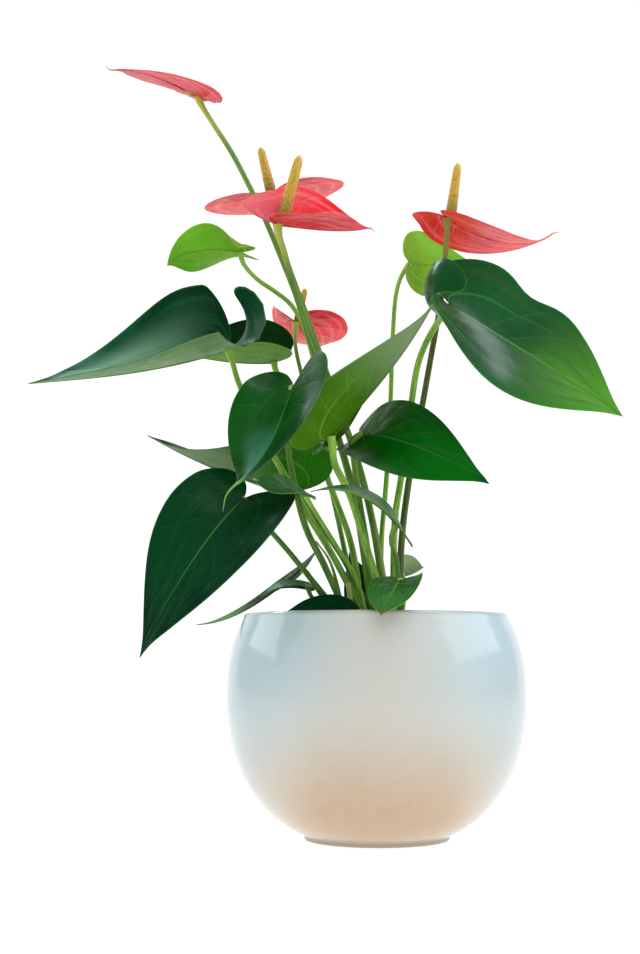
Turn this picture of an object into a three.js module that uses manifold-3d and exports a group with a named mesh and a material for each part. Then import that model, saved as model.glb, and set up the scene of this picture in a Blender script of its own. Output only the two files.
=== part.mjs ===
import * as THREE from "three";
import { mergeVertices } from "three/addons/utils/BufferGeometryUtils.js";
import Module from "manifold-3d";

// A potted anthurium: a round glazed pot, potting mix, long-stalked heart-shaped leaves and five red flowers.
// Millimetres and degrees, +Z up. The origin is the centre of the pot's foot, on the surface it stands on, and
// the front of the plant looks along -Y.

// Pot: a squarish ball, cut off by its foot and by its rim
const potRadius = 99;
const potMiddle = 92;
const potReach = 97.5;
const potFullness = 2.3;
const rimHeight = 147;
const potWall = 6;
const floorThickness = 8;
const footRadius = 47.5;
const footHeight = 3;
const footChamfer = 1;
const potSides = 36;
const wallSteps = 12;
const footCrowding = 1.25;
const rimSteps = 4;
const lip = potWall / 2;

// Potting mix
const soilHeight = 130;
const rootedDepth = 22;
const soilGap = 0.5;
const holeGap = 0.45;

// Blades and stalks
const bladeThickness = 0.8;
const touchGap = 0.32;
const largeBlade = 60;
const bladeColumns = 8;
const bladeRows = { small: 7, large: 10 };
const midribSteps = 24;
const lobeReach = 0.19;
const waistPlace = 0.28;
const waistSpread = 0.15;
const plainLobes = { lift: [0, 0], curl: [0, 0], length: [1, 1], waist: [0, 0] };
const stalkSides = 6;
const stalkStep = 26;
const fewestSteps = 4;
const jointSwelling = 0.35;
const jointLength = 9;
const stalkOverlap = 2.5;
const seatRadius = 5;
const seatSides = 12;

// Spadix
const spadixSides = 12;
const spadixRows = 12;
const spadixInset = 3;
const spadixTaper = 0.35;
const spadixEnd = 0.12;
const spadixBluntness = 0.97;
const spadixNeck = { narrowing: 0.45, length: 0.12 };
const bumpHeight = 0.22;

// Fineness of the forms
const mergeDistance = 1e-3;
const normalStep = 0.01;
const leastCurl = 0.02;
const flatCurl = 0.001;

const wasm = await Module();
wasm.setup();
const radians = THREE.MathUtils.degToRad;

// Half outlines, from the notch where the stalk joins, round the lobe, to the tip: along as a part of the
// length, across as a part of the half width.
const leafOutline = halfOutline([
  [0, 0], [-0.07, 0.07], [-0.15, 0.22], [-0.19, 0.42], [-0.165, 0.64], [-0.07, 0.84], [0.06, 0.96],
  [0.2, 1], [0.36, 0.94], [0.52, 0.79], [0.67, 0.57], [0.8, 0.33], [0.9, 0.14], [0.96, 0.05], [1, 0],
]);
const spatheOutline = halfOutline([
  [0, 0], [-0.06, 0.1], [-0.11, 0.3], [-0.1, 0.52], [-0.03, 0.75], [0.09, 0.92], [0.24, 1], [0.42, 0.94],
  [0.58, 0.77], [0.72, 0.53], [0.84, 0.28], [0.92, 0.12], [0.97, 0.04], [1, 0],
]);

// Leaves and flowers. attach is where the stalk meets the blade, and tip is the blade's tip. roll turns the
// blade about the line between them, and width is its half width over its length. fold, at the midrib, and
// curl, from there to the margin, raise the left and the right side, and the curl fades towards the tip.
// bend and hook turn the midrib down, the hook at the tip. lobes, where they are given, lift the left and
// the right lobe behind the notch, change their curl and stretch them, and waist narrows a side in front of
// it. A stalk grows from its foot in the potting mix through its via points, and its radius is given at its
// foot and at its top.
const leaves = [
  { // small, young, light green, high at the left
    name: "leaf_01",
    young: true,
    attach: [-93, 25, 402],
    tip: [-143, 7, 387],
    roll: -37, width: 0.44, fold: [-5, 26], curl: [-85, 50], fade: 1.9,
    bend: 54, hook: 25, twist: 47,
    stalk: {
      foot: [-1, 17],
      radius: [2.1, 1.5],
      via: [
        [-7, 18, 184], [-17, 20, 239], [-36, 24, 303], [-49, 26, 349], [-58, 27, 365],
        [-69, 27, 374], [-82, 26, 383], [-92, 25, 395],
      ],
    },
  },
  { // small, young, behind the right-hand flower
    name: "leaf_02",
    young: true,
    attach: [27, 35, 397],
    tip: [77, 75, 408],
    roll: 95, width: 0.36, fold: [0, -10], curl: [0, -8], fade: 1,
    bend: 40, hook: 0, twist: 0,
    stalk: {
      foot: [4, 24],
      radius: [1.9, 1.5],
      via: [
        [5, 25, 195], [9, 27, 242], [12, 30, 290], [14, 32, 340], [17, 34, 375],
        [21, 35, 388],
      ],
    },
  },
  { // large, dark, far to the left
    name: "leaf_03",
    attach: [-102, 15, 330],
    tip: [-237, 6, 304],
    roll: 24, width: 0.42, fold: [7, 24], curl: [40, 82], fade: 1.6,
    bend: -22, hook: 8, twist: 16,
    lobes: { lift: [70, 0], curl: [-155, 0], length: [1.9, 0.3], waist: [0, 0] },
    stalk: {
      foot: [-2, -7],
      radius: [2.3, 1.9],
      via: [[-27, -9, 182], [-48, -17, 216], [-71, -25, 256], [-92, -1, 302], [-99, 14, 324]],
    },
  },
  { // behind leaf 3
    name: "leaf_04",
    attach: [-70, 50, 328],
    tip: [-150, 48, 337],
    roll: 29, width: 0.42, fold: [33, 38], curl: [22, 44], fade: 1.2,
    bend: -27, hook: 9, twist: 0,
    stalk: {
      foot: [-8, 9],
      radius: [2.3, 1.9],
      via: [[-15, 18, 191], [-29, 32, 234], [-47, 42, 278], [-62, 46, 311], [-69, 48, 322]],
    },
  },
  { // large, glossy, in front, its lower side curled up
    name: "leaf_05",
    attach: [-55, -45, 292],
    tip: [-88, -114, 220],
    roll: -30, width: 0.36, fold: [5, 10], curl: [-14, 79], fade: 1.7,
    bend: -7, hook: -21, twist: -13,
    stalk: {
      foot: [-14, -22],
      radius: [2.3, 2],
      via: [
        [-34, -23, 177], [-46, -26, 201], [-52, -29, 222], [-57, -31, 246], [-59, -34, 272],
        [-57, -39, 287],
      ],
    },
  },
  { // in the middle, its pale underside to the front
    name: "leaf_06",
    attach: [-30, -45, 260],
    tip: [35, -73, 341],
    roll: -9, width: 0.34, fold: [23, 26], curl: [-42, 34], fade: 1.9,
    bend: -9, hook: -8, twist: 7,
    stalk: {
      foot: [10, -22],
      radius: [2.6, 2.3],
      via: [[-9, -30, 196], [-18, -38, 223], [-28, -44, 243], [-29, -45, 252]],
    },
  },
  { // dark, hanging to the right
    name: "leaf_07",
    attach: [-9, -15, 266],
    tip: [70, -61, 227],
    roll: -68, width: 0.31, fold: [-14, -4], curl: [12, 94], fade: 1.2,
    bend: 69, hook: 4, twist: -7,
    stalk: {
      foot: [5, -11],
      radius: [2.2, 2],
      via: [[-6, -10, 192], [-12, -11, 229], [-15, -13, 252], [-16, -16, 261]],
    },
  },
  { // large, dark, low at the left
    name: "leaf_08",
    attach: [-87, -37, 220],
    tip: [-147, -82, 118],
    roll: 45, width: 0.3, fold: [3, -4], curl: [36, 26], fade: 1.4,
    bend: 54, hook: 2, twist: 20,
    stalk: {
      foot: [-14, -11],
      radius: [2, 1.7],
      via: [[-50, -11, 178], [-68, -13, 199], [-82, -22, 213], [-86, -31, 217]],
    },
  },
  { // large, to the right, bright green at its tip
    name: "leaf_09",
    attach: [51, -20, 352],
    tip: [159, -44, 273],
    roll: -46, width: 0.37, fold: [0, 2], curl: [46, 65], fade: 2,
    bend: 0, hook: 6, twist: 30,
    lobes: { lift: [0, 20], curl: [0, 0], length: [1, 1], waist: [0.2, 0] },
    stalk: {
      foot: [12, 1],
      radius: [2.2, 2.2],
      via: [
        [13, -4, 209], [17, -5, 236], [23, -6, 277], [30, -8, 318], [41, -9, 341],
        [47, -14, 348],
      ],
    },
  },
  { // behind leaf 5, its underside to the front
    name: "leaf_10",
    attach: [-52, 30, 233],
    tip: [-153, -8, 266],
    roll: -20, width: 0.42, fold: [19, 5], curl: [98, 62], fade: 1.6,
    bend: -28, hook: 3, twist: -53,
    stalk: {
      foot: [3, -2],
      radius: [2.1, 1.8],
      via: [[-21, -8, 182], [-36, 4, 205], [-47, 14, 223], [-51, 22, 231]],
    },
  },
  { // small, nearly on edge, under leaf 5
    name: "leaf_11",
    attach: [-46, -46, 222],
    tip: [-81, -46, 232],
    roll: 22, width: 0.39, fold: [7, 6], curl: [29, -52], fade: 1.1,
    bend: 27, hook: -16, twist: -50,
    stalk: {
      foot: [-4, -17],
      radius: [1.5, 1.3],
      via: [[-14, -18, 170], [-25, -25, 188], [-40, -38, 211], [-45, -42, 219]],
    },
  },
  { // narrow, nearly on edge, across the middle
    name: "leaf_12",
    attach: [12, -42, 203],
    tip: [-43, -72, 221],
    roll: 29, width: 0.36, fold: [2, 10], curl: [-9, 8], fade: 1.4,
    bend: 48, hook: 14, twist: 27,
    stalk: {
      foot: [15, -29],
      radius: [1.6, 1.6],
      via: [[12, -33, 183], [9, -37, 191], [9, -40, 196]],
    },
  },
  { // small, hanging over the rim in front
    name: "leaf_13",
    attach: [13, -66, 166],
    tip: [-1, -107, 143],
    roll: 0, width: 0.36, fold: [-14, -10], curl: [68, 34], fade: 1,
    bend: 24, hook: -16, twist: 6,
    stalk: {
      foot: [16, -37],
      radius: [1.6, 1.5],
      via: [[15, -44, 155], [14, -56, 160]],
    },
  },
  { // small, low at the back
    name: "leaf_14",
    attach: [18, 25, 177],
    tip: [36, 51, 181],
    roll: 54, width: 0.33, fold: [0, -12], curl: [72, 80], fade: 0.4,
    bend: 36, hook: -12, twist: -25,
    stalk: {
      foot: [17, 30],
      radius: [1.4, 1.3],
      via: [[21, 29, 160], [21, 28, 170]],
    },
  },
  { // small, low at the left
    name: "leaf_15",
    attach: [-46, -4, 168],
    tip: [-77, -8, 156],
    roll: -12, width: 0.33, fold: [-28, -20], curl: [-3, 13], fade: 1.9,
    bend: 74, hook: 10, twist: -13,
    stalk: {
      foot: [-22, -4],
      radius: [1.4, 1.3],
      via: [[-34, -4, 148], [-44, -4, 160]],
    },
  },
  { // long, on edge, low at the left
    name: "leaf_16",
    attach: [-51, 27, 178],
    tip: [-121, 15, 140],
    roll: -4, width: 0.3, fold: [9, 16], curl: [-8, -51], fade: 2,
    bend: -11, hook: -30, twist: 2,
    stalk: {
      foot: [-17, 14],
      radius: [1.5, 1.4],
      via: [[-41, 19, 167], [-47, 22, 177]],
    },
  },
  { // just behind the rim at the left
    name: "leaf_17",
    attach: [-20, -44, 145],
    tip: [-60, -44, 146],
    roll: 36, width: 0.36, fold: [8, 8], curl: [20, 20], fade: 1,
    bend: 20, hook: 20, twist: 0,
    stalk: {
      foot: [-12, -40],
      radius: [1.5, 1.3],
      via: [],
    },
  },
  { // upright, low between the stalks
    name: "leaf_18",
    attach: [-4, 39, 145],
    tip: [-17, 40, 191],
    roll: 75, width: 0.3, fold: [10, 10], curl: [10, 10], fade: 1,
    bend: 15, hook: 5, twist: 0,
    stalk: {
      foot: [-6, 32],
      radius: [1.5, 1.3],
      via: [],
    },
  },
];

const flowers = [
  { // highest, half furled, seen on edge
    name: "flower_1",
    attach: [-125, 30, 518],
    tip: [-177, -30, 513],
    roll: 21, width: 0.38, fold: [-1, 0], curl: [18, 7], fade: 1.6,
    bend: 10, hook: 16, twist: 12,
    spadix: { tip: [-139, 12, 522], radius: 2.4 },
    stalk: {
      foot: [2, 6],
      radius: [2.2, 1.8],
      via: [
        [-13, 5, 224], [-28, 6, 279], [-42, 9, 328], [-52, 11, 362], [-63, 11, 391],
        [-76, 13, 423], [-92, 19, 458], [-101, 24, 476], [-123, 30, 513],
      ],
    },
  },
  { // in front at the top, its far side folded up
    name: "flower_2",
    attach: [-66, -18, 409],
    tip: [-2, 10, 415],
    roll: -7, width: 0.46, fold: [68, 20], curl: [10, -30], fade: 1,
    bend: -2, hook: -17, twist: 0,
    lobes: { lift: [0, 0], curl: [0, 0], length: [3, 1.3], waist: [0, 0] },
    spadix: { tip: [-51, -22, 456], radius: 4.6 },
    stalk: {
      foot: [10, -9],
      radius: [2.4, 2.2],
      via: [
        [1, -4, 193], [-10, 2, 244], [-25, 4, 289], [-39, 0, 326], [-51, -6, 356],
        [-57, -12, 374], [-62, -16, 392], [-65, -18, 401],
      ],
    },
  },
  { // behind flower 2, pointing back
    name: "flower_3",
    attach: [-72, 30, 446],
    tip: [-66, 134, 465],
    roll: 11, width: 0.49, fold: [2, 11], curl: [7, -18], fade: 2.1,
    bend: -9, hook: -10, twist: 9,
    spadix: { tip: [-80, 32, 481], radius: 4 },
    stalk: {
      foot: [9, 9],
      radius: [2.1, 1.7],
      via: [
        [-2, 15, 211], [-16, 22, 267], [-33, 28, 318], [-48, 32, 362], [-59, 33, 393],
        [-69, 34, 424], [-74, 34, 446],
      ],
    },
  },
  { // to the right, seen from below
    name: "flower_4",
    attach: [51, 5, 421],
    tip: [131, 47, 422],
    roll: -22, width: 0.39, fold: [-12, 0], curl: [-21, 17], fade: 1.7,
    bend: -29, hook: -30, twist: -18,
    spadix: { tip: [59, 5, 460], radius: 4 },
    stalk: {
      foot: [16, 9],
      radius: [2.4, 1.9],
      via: [
        [18, 10, 194], [23, 10, 235], [30, 11, 273], [39, 11, 322], [47, 10, 367],
        [50, 8, 396], [51, 6, 414],
      ],
    },
  },
  { // small, behind the middle
    name: "flower_5",
    attach: [-55, 60, 360],
    tip: [-32, 126, 359],
    roll: 4, width: 0.45, fold: [19, 1], curl: [63, 25], fade: 1.6,
    bend: -29, hook: -22, twist: -8,
    spadix: { tip: [-48, 62, 385], radius: 3 },
    stalk: {
      foot: [-9, 22],
      radius: [1.9, 1.4],
      via: [
        [-21, 28, 195], [-31, 42, 242], [-41, 50, 282], [-51, 55, 322], [-55, 58, 342],
        [-55, 60, 354],
      ],
    },
  },
];

const shoots = [
  { // thin, leaning to the left
    name: "shoot_1",
    stalk: {
      foot: [-19, 4],
      radius: [2, 0.5],
      via: [[-30, 4, 181], [-40, 4, 196]],
    },
  },
  { // short, in front
    name: "shoot_2",
    stalk: {
      foot: [-16, -31],
      radius: [2.4, 1.6],
      via: [[-18, -30, 158], [-19, -30, 166]],
    },
  },
  { // between the front stalks
    name: "shoot_3",
    stalk: {
      foot: [11, -16],
      radius: [2.6, 0.5],
      via: [[3, -21, 181], [1, -22, 197]],
    },
  },
];

function halfOutline(points) {
  return new THREE.SplineCurve(points.map(([along, across]) => new THREE.Vector2(along, across)));
}

// A blade or a spathe: a flat outline, folded along its midrib, rolled at its sides and bent along its length.
class Blade {
  constructor(outline, form) {
    Object.assign(this, { lobes: plainLobes }, form);
    this.outline = outline;
    this.attach = new THREE.Vector3(...form.attach);
    this.along = new THREE.Vector3(...form.tip).sub(this.attach);
    const chord = this.along.length();
    this.along.normalize();
    const level = new THREE.Vector3(-this.along.y, this.along.x, 0).normalize();
    const upward = new THREE.Vector3().crossVectors(this.along, level);
    const turn = radians(this.roll);
    this.out = upward.clone().multiplyScalar(Math.cos(turn)).addScaledVector(level, Math.sin(turn));
    this.left = level.clone().multiplyScalar(Math.cos(turn)).addScaledVector(upward, -Math.sin(turn));
    const [reach, rise] = this.midrib(1);
    this.length = chord / Math.hypot(reach, rise);
    this.lean = Math.atan2(rise, reach);
    this.halfWidth = this.length * this.width;
  }

  // The midrib's slope, and how far a point on it lies along and above its base, all for a blade of length 1.
  slope(u, side) {
    const lift = (radians(this.lobes.lift[side]) * Math.min(u, 0)) / lobeReach;
    return lift - radians(this.bend) * u - radians(this.hook) * Math.max(u, 0) ** 3;
  }

  midrib(u, side = 0) {
    let reach = 0;
    let rise = 0;
    for (let i = 0; i < midribSteps; i++) {
      const angle = this.slope((u * (i + 0.5)) / midribSteps, side);
      reach += (Math.cos(angle) * u) / midribSteps;
      rise += (Math.sin(angle) * u) / midribSteps;
    }
    return [reach, rise];
  }

  // The place of a point of the flat outline: u along it, in lengths, and v across it, in half widths.
  point(u, v) {
    const side = v < 0 ? 1 : 0;
    const within = THREE.MathUtils.clamp(u, 0, 1);
    const behind = THREE.MathUtils.clamp(-u / lobeReach, 0, 1);
    const place = u < 0 ? u * this.lobes.length[side] : u;
    const waist = this.lobes.waist[side] * Math.exp(-(((u - waistPlace) / waistSpread) ** 2));
    const fold = radians(this.fold[side]);
    const bladeCurl = radians(this.curl[side]) * Math.max(1 - within, leastCurl) ** this.fade;
    const curl = bladeCurl + radians(this.lobes.curl[side]) * behind || flatCurl;
    const turned = fold + curl * Math.abs(v) * (1 - waist);
    let across = ((Math.sin(turned) - Math.sin(fold)) / curl) * this.halfWidth;
    let above = ((Math.cos(fold) - Math.cos(turned)) / curl) * this.halfWidth;
    across *= side ? -1 : 1;
    const twist = radians(this.twist) * within;
    [across, above] = [
      across * Math.cos(twist) - above * Math.sin(twist),
      across * Math.sin(twist) + above * Math.cos(twist),
    ];
    const [reach, rise] = this.midrib(place, side).map((distance) => distance * this.length);
    const angle = this.slope(place, side) - this.lean;
    const flat = reach * Math.cos(this.lean) + rise * Math.sin(this.lean) - above * Math.sin(angle);
    const high = rise * Math.cos(this.lean) - reach * Math.sin(this.lean) + above * Math.cos(angle);
    return this.attach
      .clone()
      .addScaledVector(this.along, flat)
      .addScaledVector(this.out, high)
      .addScaledVector(this.left, across);
  }

  // The direction out of the upper face there.
  normal(u, v) {
    const alongFace = this.point(u + normalStep, v).sub(this.point(u - normalStep, v));
    const leftward = this.point(u, v + normalStep).sub(this.point(u, v - normalStep));
    return alongFace.cross(leftward).normalize();
  }

  // The place in the flat outline of row s, from notch to tip, and column t, from the right margin to the left.
  spread(s, t) {
    const margin = this.outline.getPoint(s);
    return [THREE.MathUtils.lerp(s * s, margin.x, Math.abs(t)), margin.y * t];
  }

  // A closed solid: the same triangles on the upper and the lower face, joined round the margin.
  geometry(thickness) {
    const rows = this.length > largeBlade ? bladeRows.large : bladeRows.small;
    const sheet = new THREE.PlaneGeometry(2, 1, bladeColumns, rows);
    const flat = sheet.attributes.position;
    const positions = [];
    for (const face of [0.5, -0.5]) {
      for (let i = 0; i < flat.count; i++) {
        const [u, v] = this.spread(0.5 - flat.getY(i), flat.getX(i));
        positions.push(...this.point(u, v).addScaledVector(this.normal(u, v), face * thickness));
      }
    }
    const triangles = [];
    const faces = sheet.index.array;
    for (let i = 0; i < faces.length; i += 3) {
      const [a, b, c] = faces.slice(i, i + 3);
      triangles.push([a, b, c], [a + flat.count, c + flat.count, b + flat.count]);
    }
    const margin = sheetMargin(bladeColumns, rows);
    margin.forEach((p, i) => {
      const q = margin[(i + 1) % margin.length];
      triangles.push([p + flat.count, q + flat.count, q], [p + flat.count, q, p]);
    });
    return closedGeometry(positions, triangles.flat());
  }
}

// The vertices round a sheet of rows and columns, anticlockwise as seen from its front.
function sheetMargin(columns, rows) {
  const at = (column, row) => column + (columns + 1) * row;
  const loop = [];
  for (let column = columns; column > 0; column--) loop.push(at(column, 0));
  for (let row = 0; row < rows; row++) loop.push(at(0, row));
  for (let column = 0; column < columns; column++) loop.push(at(column, rows));
  for (let row = rows; row > 0; row--) loop.push(at(columns, row));
  return loop;
}

// A mesh whose vertices are shared, without the triangles that have shrunk to a line.
function closedGeometry(positions, triangles) {
  const loose = new THREE.BufferGeometry();
  loose.setAttribute("position", new THREE.Float32BufferAttribute(positions, 3));
  loose.setIndex(Array.from(triangles));
  const merged = mergeVertices(loose, mergeDistance);
  const index = [];
  for (let i = 0; i < merged.index.count; i += 3) {
    const [a, b, c] = merged.index.array.slice(i, i + 3);
    if (a !== b && b !== c && c !== a) index.push(a, b, c);
  }
  merged.setIndex(index);
  return merged;
}

function toSolid(geometry) {
  return new wasm.Manifold(
    new wasm.Mesh({
      numProp: 3,
      vertProperties: new Float32Array(geometry.attributes.position.array),
      triVerts: new Uint32Array(geometry.index.array),
    }),
  );
}

function toGeometry(solid) {
  const mesh = solid.getMesh();
  return closedGeometry(Array.from(mesh.vertProperties), Array.from(mesh.triVerts));
}

// Cuts the tools out of a solid and keeps its largest piece.
function trimmed(geometry, tools) {
  const cut = tools.reduce((solid, tool) => solid.subtract(toSolid(tool)), toSolid(geometry));
  const pieces = cut.decompose().sort((a, b) => b.volume() - a.volume());
  return toGeometry(pieces[0]);
}

// The room that a blade takes from what is seated on it: the blade with its gap, and a disc over its notch.
function seatTools(blade) {
  const thickness = bladeThickness + 2 * touchGap;
  const disc = new THREE.CylinderGeometry(seatRadius, seatRadius, thickness, seatSides);
  const upright = new THREE.Vector3(0, 1, 0);
  disc.applyQuaternion(new THREE.Quaternion().setFromUnitVectors(upright, blade.normal(0, 0)));
  disc.translate(...blade.attach);
  return [blade.geometry(thickness), closedGeometry(disc.attributes.position.array, disc.index.array)];
}

// A round bar along a curve. radiusAt gives its radius at t along it and at an angle round it.
function bar(curve, sides, steps, radiusAt) {
  const frames = curve.computeFrenetFrames(steps);
  const geometry = new THREE.CylinderGeometry(1, 1, 1, sides, steps);
  geometry.deleteAttribute("normal");
  geometry.deleteAttribute("uv");
  const position = geometry.attributes.position;
  const vertex = new THREE.Vector3();
  for (let i = 0; i < position.count; i++) {
    vertex.fromBufferAttribute(position, i);
    const t = THREE.MathUtils.clamp(vertex.y + 0.5, 0, 1);
    const step = Math.round(t * steps);
    const radius = radiusAt(t, Math.atan2(vertex.z, vertex.x));
    const place = curve
      .getPointAt(t)
      .addScaledVector(frames.normals[step], vertex.x * radius)
      .addScaledVector(frames.binormals[step], -vertex.z * radius);
    position.setXYZ(i, ...place);
  }
  return closedGeometry(position.array, geometry.index.array);
}

// A stalk: straight up out of the potting mix, then through its via points, a little thicker at its top.
function stalkCurve({ foot, via }, end, depth) {
  const points = [[...foot, soilHeight - depth], [...foot, soilHeight], ...via];
  return new THREE.CatmullRomCurve3([...points.map((point) => new THREE.Vector3(...point)), ...end]);
}

function stalkBar(curve, [footRadius, topRadius], swelling, extra = 0) {
  const length = curve.getLength();
  const steps = Math.max(fewestSteps, Math.round(length / stalkStep));
  return bar(curve, stalkSides, steps, (t) => {
    const joint = swelling * Math.exp(-((((1 - t) * length) / jointLength) ** 2));
    return THREE.MathUtils.lerp(footRadius, topRadius, t) + joint + extra;
  });
}

// A spadix: tapering, round at its end, with a relief of small flowers set in a checker.
function spadixBar(base, { tip, radius }) {
  const curve = new THREE.LineCurve3(base, new THREE.Vector3(...tip));
  return bar(curve, spadixSides, spadixRows, (t, angle) => {
    const towardsEnd = THREE.MathUtils.clamp((t - 1 + spadixEnd) / spadixEnd, 0, spadixBluntness);
    const neck = 1 - spadixNeck.narrowing * Math.max(0, 1 - t / spadixNeck.length);
    const bumps = bumpHeight * Math.cos((spadixSides / 2) * angle) * Math.cos(Math.PI * t * spadixRows);
    return (radius * (1 - spadixTaper * t) + bumps) * neck * Math.sqrt(1 - towardsEnd ** 2);
  });
}

// The pot's outer radius at a height: a superellipse.
function potRadiusAt(height) {
  const reach = Math.abs(height - potMiddle) / potReach;
  return potRadius * (1 - reach ** potFullness) ** (1 / potFullness);
}

// Points of a wall from one height to another, closer together where the pot curves in to its foot.
function wallPoints(from, to, inset) {
  const points = [];
  for (let i = 0; i <= wallSteps; i++) {
    const height = THREE.MathUtils.lerp(from, to, (i / wallSteps) ** footCrowding);
    points.push(new THREE.Vector2(potRadiusAt(height) - inset, height));
  }
  return points;
}

function turned(profile) {
  const geometry = new THREE.LatheGeometry(profile, potSides);
  geometry.deleteAttribute("normal");
  geometry.deleteAttribute("uv");
  geometry.rotateX(Math.PI / 2);
  return closedGeometry(geometry.attributes.position.array, geometry.index.array);
}

function potGeometry() {
  const lipHeight = rimHeight - lip;
  const lipRadius = potRadiusAt(lipHeight) - lip;
  const rim = [];
  for (let i = 1; i < rimSteps; i++) {
    const angle = (Math.PI * i) / rimSteps;
    rim.push(new THREE.Vector2(lipRadius + lip * Math.cos(angle), lipHeight + lip * Math.sin(angle)));
  }
  return turned([
    new THREE.Vector2(0, 0),
    new THREE.Vector2(footRadius - footChamfer, 0),
    new THREE.Vector2(footRadius, footChamfer),
    ...wallPoints(footHeight, lipHeight, 0),
    ...rim,
    ...wallPoints(floorThickness, lipHeight, potWall).reverse(),
    new THREE.Vector2(0, floorThickness),
  ]);
}

// The potting mix fills the pot, with a hole for each stalk.
function soilGeometry(stalks) {
  const profile = wallPoints(floorThickness + soilGap, soilHeight, potWall + soilGap);
  const block = turned([new THREE.Vector2(0, profile[0].y), ...profile, new THREE.Vector2(0, soilHeight)]);
  let mix = toSolid(block);
  for (const stalk of stalks) mix = mix.subtract(toSolid(stalk));
  return toGeometry(mix);
}

// A stalk, trimmed where it meets its blade, and the hole that it stands in.
function grow(name, stalk, end, swelling, finish, blade) {
  let geometry = stalkBar(stalkCurve(stalk, end, rootedDepth), stalk.radius, swelling);
  if (blade) geometry = trimmed(geometry, seatTools(blade));
  holes.push(stalkBar(stalkCurve(stalk, end, rootedDepth + holeGap), stalk.radius, swelling, holeGap));
  add(name, geometry, finish);
}

// Where a stalk ends: at the notch of its blade, then a little way under it, or straight on where the blade
// turns back.
function stalkEnd(blade, { foot, via }) {
  const arrival = new THREE.Vector3(...(via.at(-1) ?? [...foot, soilHeight])).sub(blade.attach).negate();
  const onward = blade.point(stalkOverlap / blade.length, 0).sub(blade.attach);
  const extension = arrival.dot(onward) > 0 ? onward : arrival.setLength(stalkOverlap);
  return [blade.attach, extension.add(blade.attach)];
}

function addLeaf(form) {
  const blade = new Blade(leafOutline, form);
  add(`${form.name}_blade`, blade.geometry(bladeThickness), form.young ? finishes.youngLeaf : finishes.leaf);
  grow(`${form.name}_stalk`, form.stalk, stalkEnd(blade, form.stalk), jointSwelling, finishes.stalk, blade);
}

function addFlower(form) {
  const blade = new Blade(spatheOutline, form);
  add(`${form.name}_spathe`, blade.geometry(bladeThickness), finishes.spathe);
  grow(`${form.name}_stalk`, form.stalk, stalkEnd(blade, form.stalk), jointSwelling, finishes.flowerStalk, blade);
  const spadix = spadixBar(blade.point(spadixInset / blade.length, 0), form.spadix);
  add(`${form.name}_spadix`, trimmed(spadix, seatTools(blade)), finishes.spadix);
}

function addShoot({ name, stalk }) {
  grow(name, stalk, [], 0, finishes.shoot);
}

const finishes = {
  glaze: ["#e4e9e6", 0.12],
  mix: ["#3b2c20", 0.95],
  leaf: ["#0b4b29", 0.3],
  youngLeaf: ["#6ea628", 0.4],
  stalk: ["#78a532", 0.4],
  flowerStalk: ["#6f8a34", 0.4],
  shoot: ["#96b440", 0.45],
  spathe: ["#dd3b4c", 0.3],
  spadix: ["#e0ae3c", 0.6],
};
const plant = new THREE.Group();
const holes = [];

function add(name, geometry, [color, roughness]) {
  const mesh = new THREE.Mesh(geometry, new THREE.MeshStandardMaterial({ color, roughness, metalness: 0 }));
  mesh.name = name;
  plant.add(mesh);
}

leaves.forEach(addLeaf);
flowers.forEach(addFlower);
shoots.forEach(addShoot);
add("pot", potGeometry(), finishes.glaze);
add("potting_mix", soilGeometry(holes), finishes.mix);

export default plant;
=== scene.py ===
# A potted anthurium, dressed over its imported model: leaves, flowers, stalks, glazed pot and potting mix.
# The forms are in millimetres and degrees, as in the part's source, and the meshes are in metres.
import math
import random

import bmesh
import bpy
from mathutils import Matrix, Vector, noise


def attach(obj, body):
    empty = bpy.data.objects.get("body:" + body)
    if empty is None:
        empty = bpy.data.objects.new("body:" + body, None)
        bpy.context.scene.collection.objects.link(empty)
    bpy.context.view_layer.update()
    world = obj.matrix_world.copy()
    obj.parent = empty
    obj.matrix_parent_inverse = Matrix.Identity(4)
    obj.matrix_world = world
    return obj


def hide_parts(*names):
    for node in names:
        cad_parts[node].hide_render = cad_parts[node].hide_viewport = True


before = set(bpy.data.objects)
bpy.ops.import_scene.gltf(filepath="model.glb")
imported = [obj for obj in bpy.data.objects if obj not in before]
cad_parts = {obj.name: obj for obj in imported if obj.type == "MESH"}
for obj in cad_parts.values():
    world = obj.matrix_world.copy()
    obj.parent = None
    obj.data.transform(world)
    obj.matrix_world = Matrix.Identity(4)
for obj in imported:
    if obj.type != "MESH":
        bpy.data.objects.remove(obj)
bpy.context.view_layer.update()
millimetre = 0.001
mergeDistance = 1e-6

# Half outlines, from the notch where the stalk joins, round the lobe, to the tip
leafOutline = [
    (0, 0), (-0.07, 0.07), (-0.15, 0.22), (-0.19, 0.42), (-0.165, 0.64), (-0.07, 0.84), (0.06, 0.96), (0.2, 1),
    (0.36, 0.94), (0.52, 0.79), (0.67, 0.57), (0.8, 0.33), (0.9, 0.14), (0.96, 0.05), (1, 0),
]
spatheOutline = [
    (0, 0), (-0.06, 0.1), (-0.11, 0.3), (-0.1, 0.52), (-0.03, 0.75), (0.09, 0.92), (0.24, 1), (0.42, 0.94),
    (0.58, 0.77), (0.72, 0.53), (0.84, 0.28), (0.92, 0.12), (0.97, 0.04), (1, 0),
]

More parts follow.
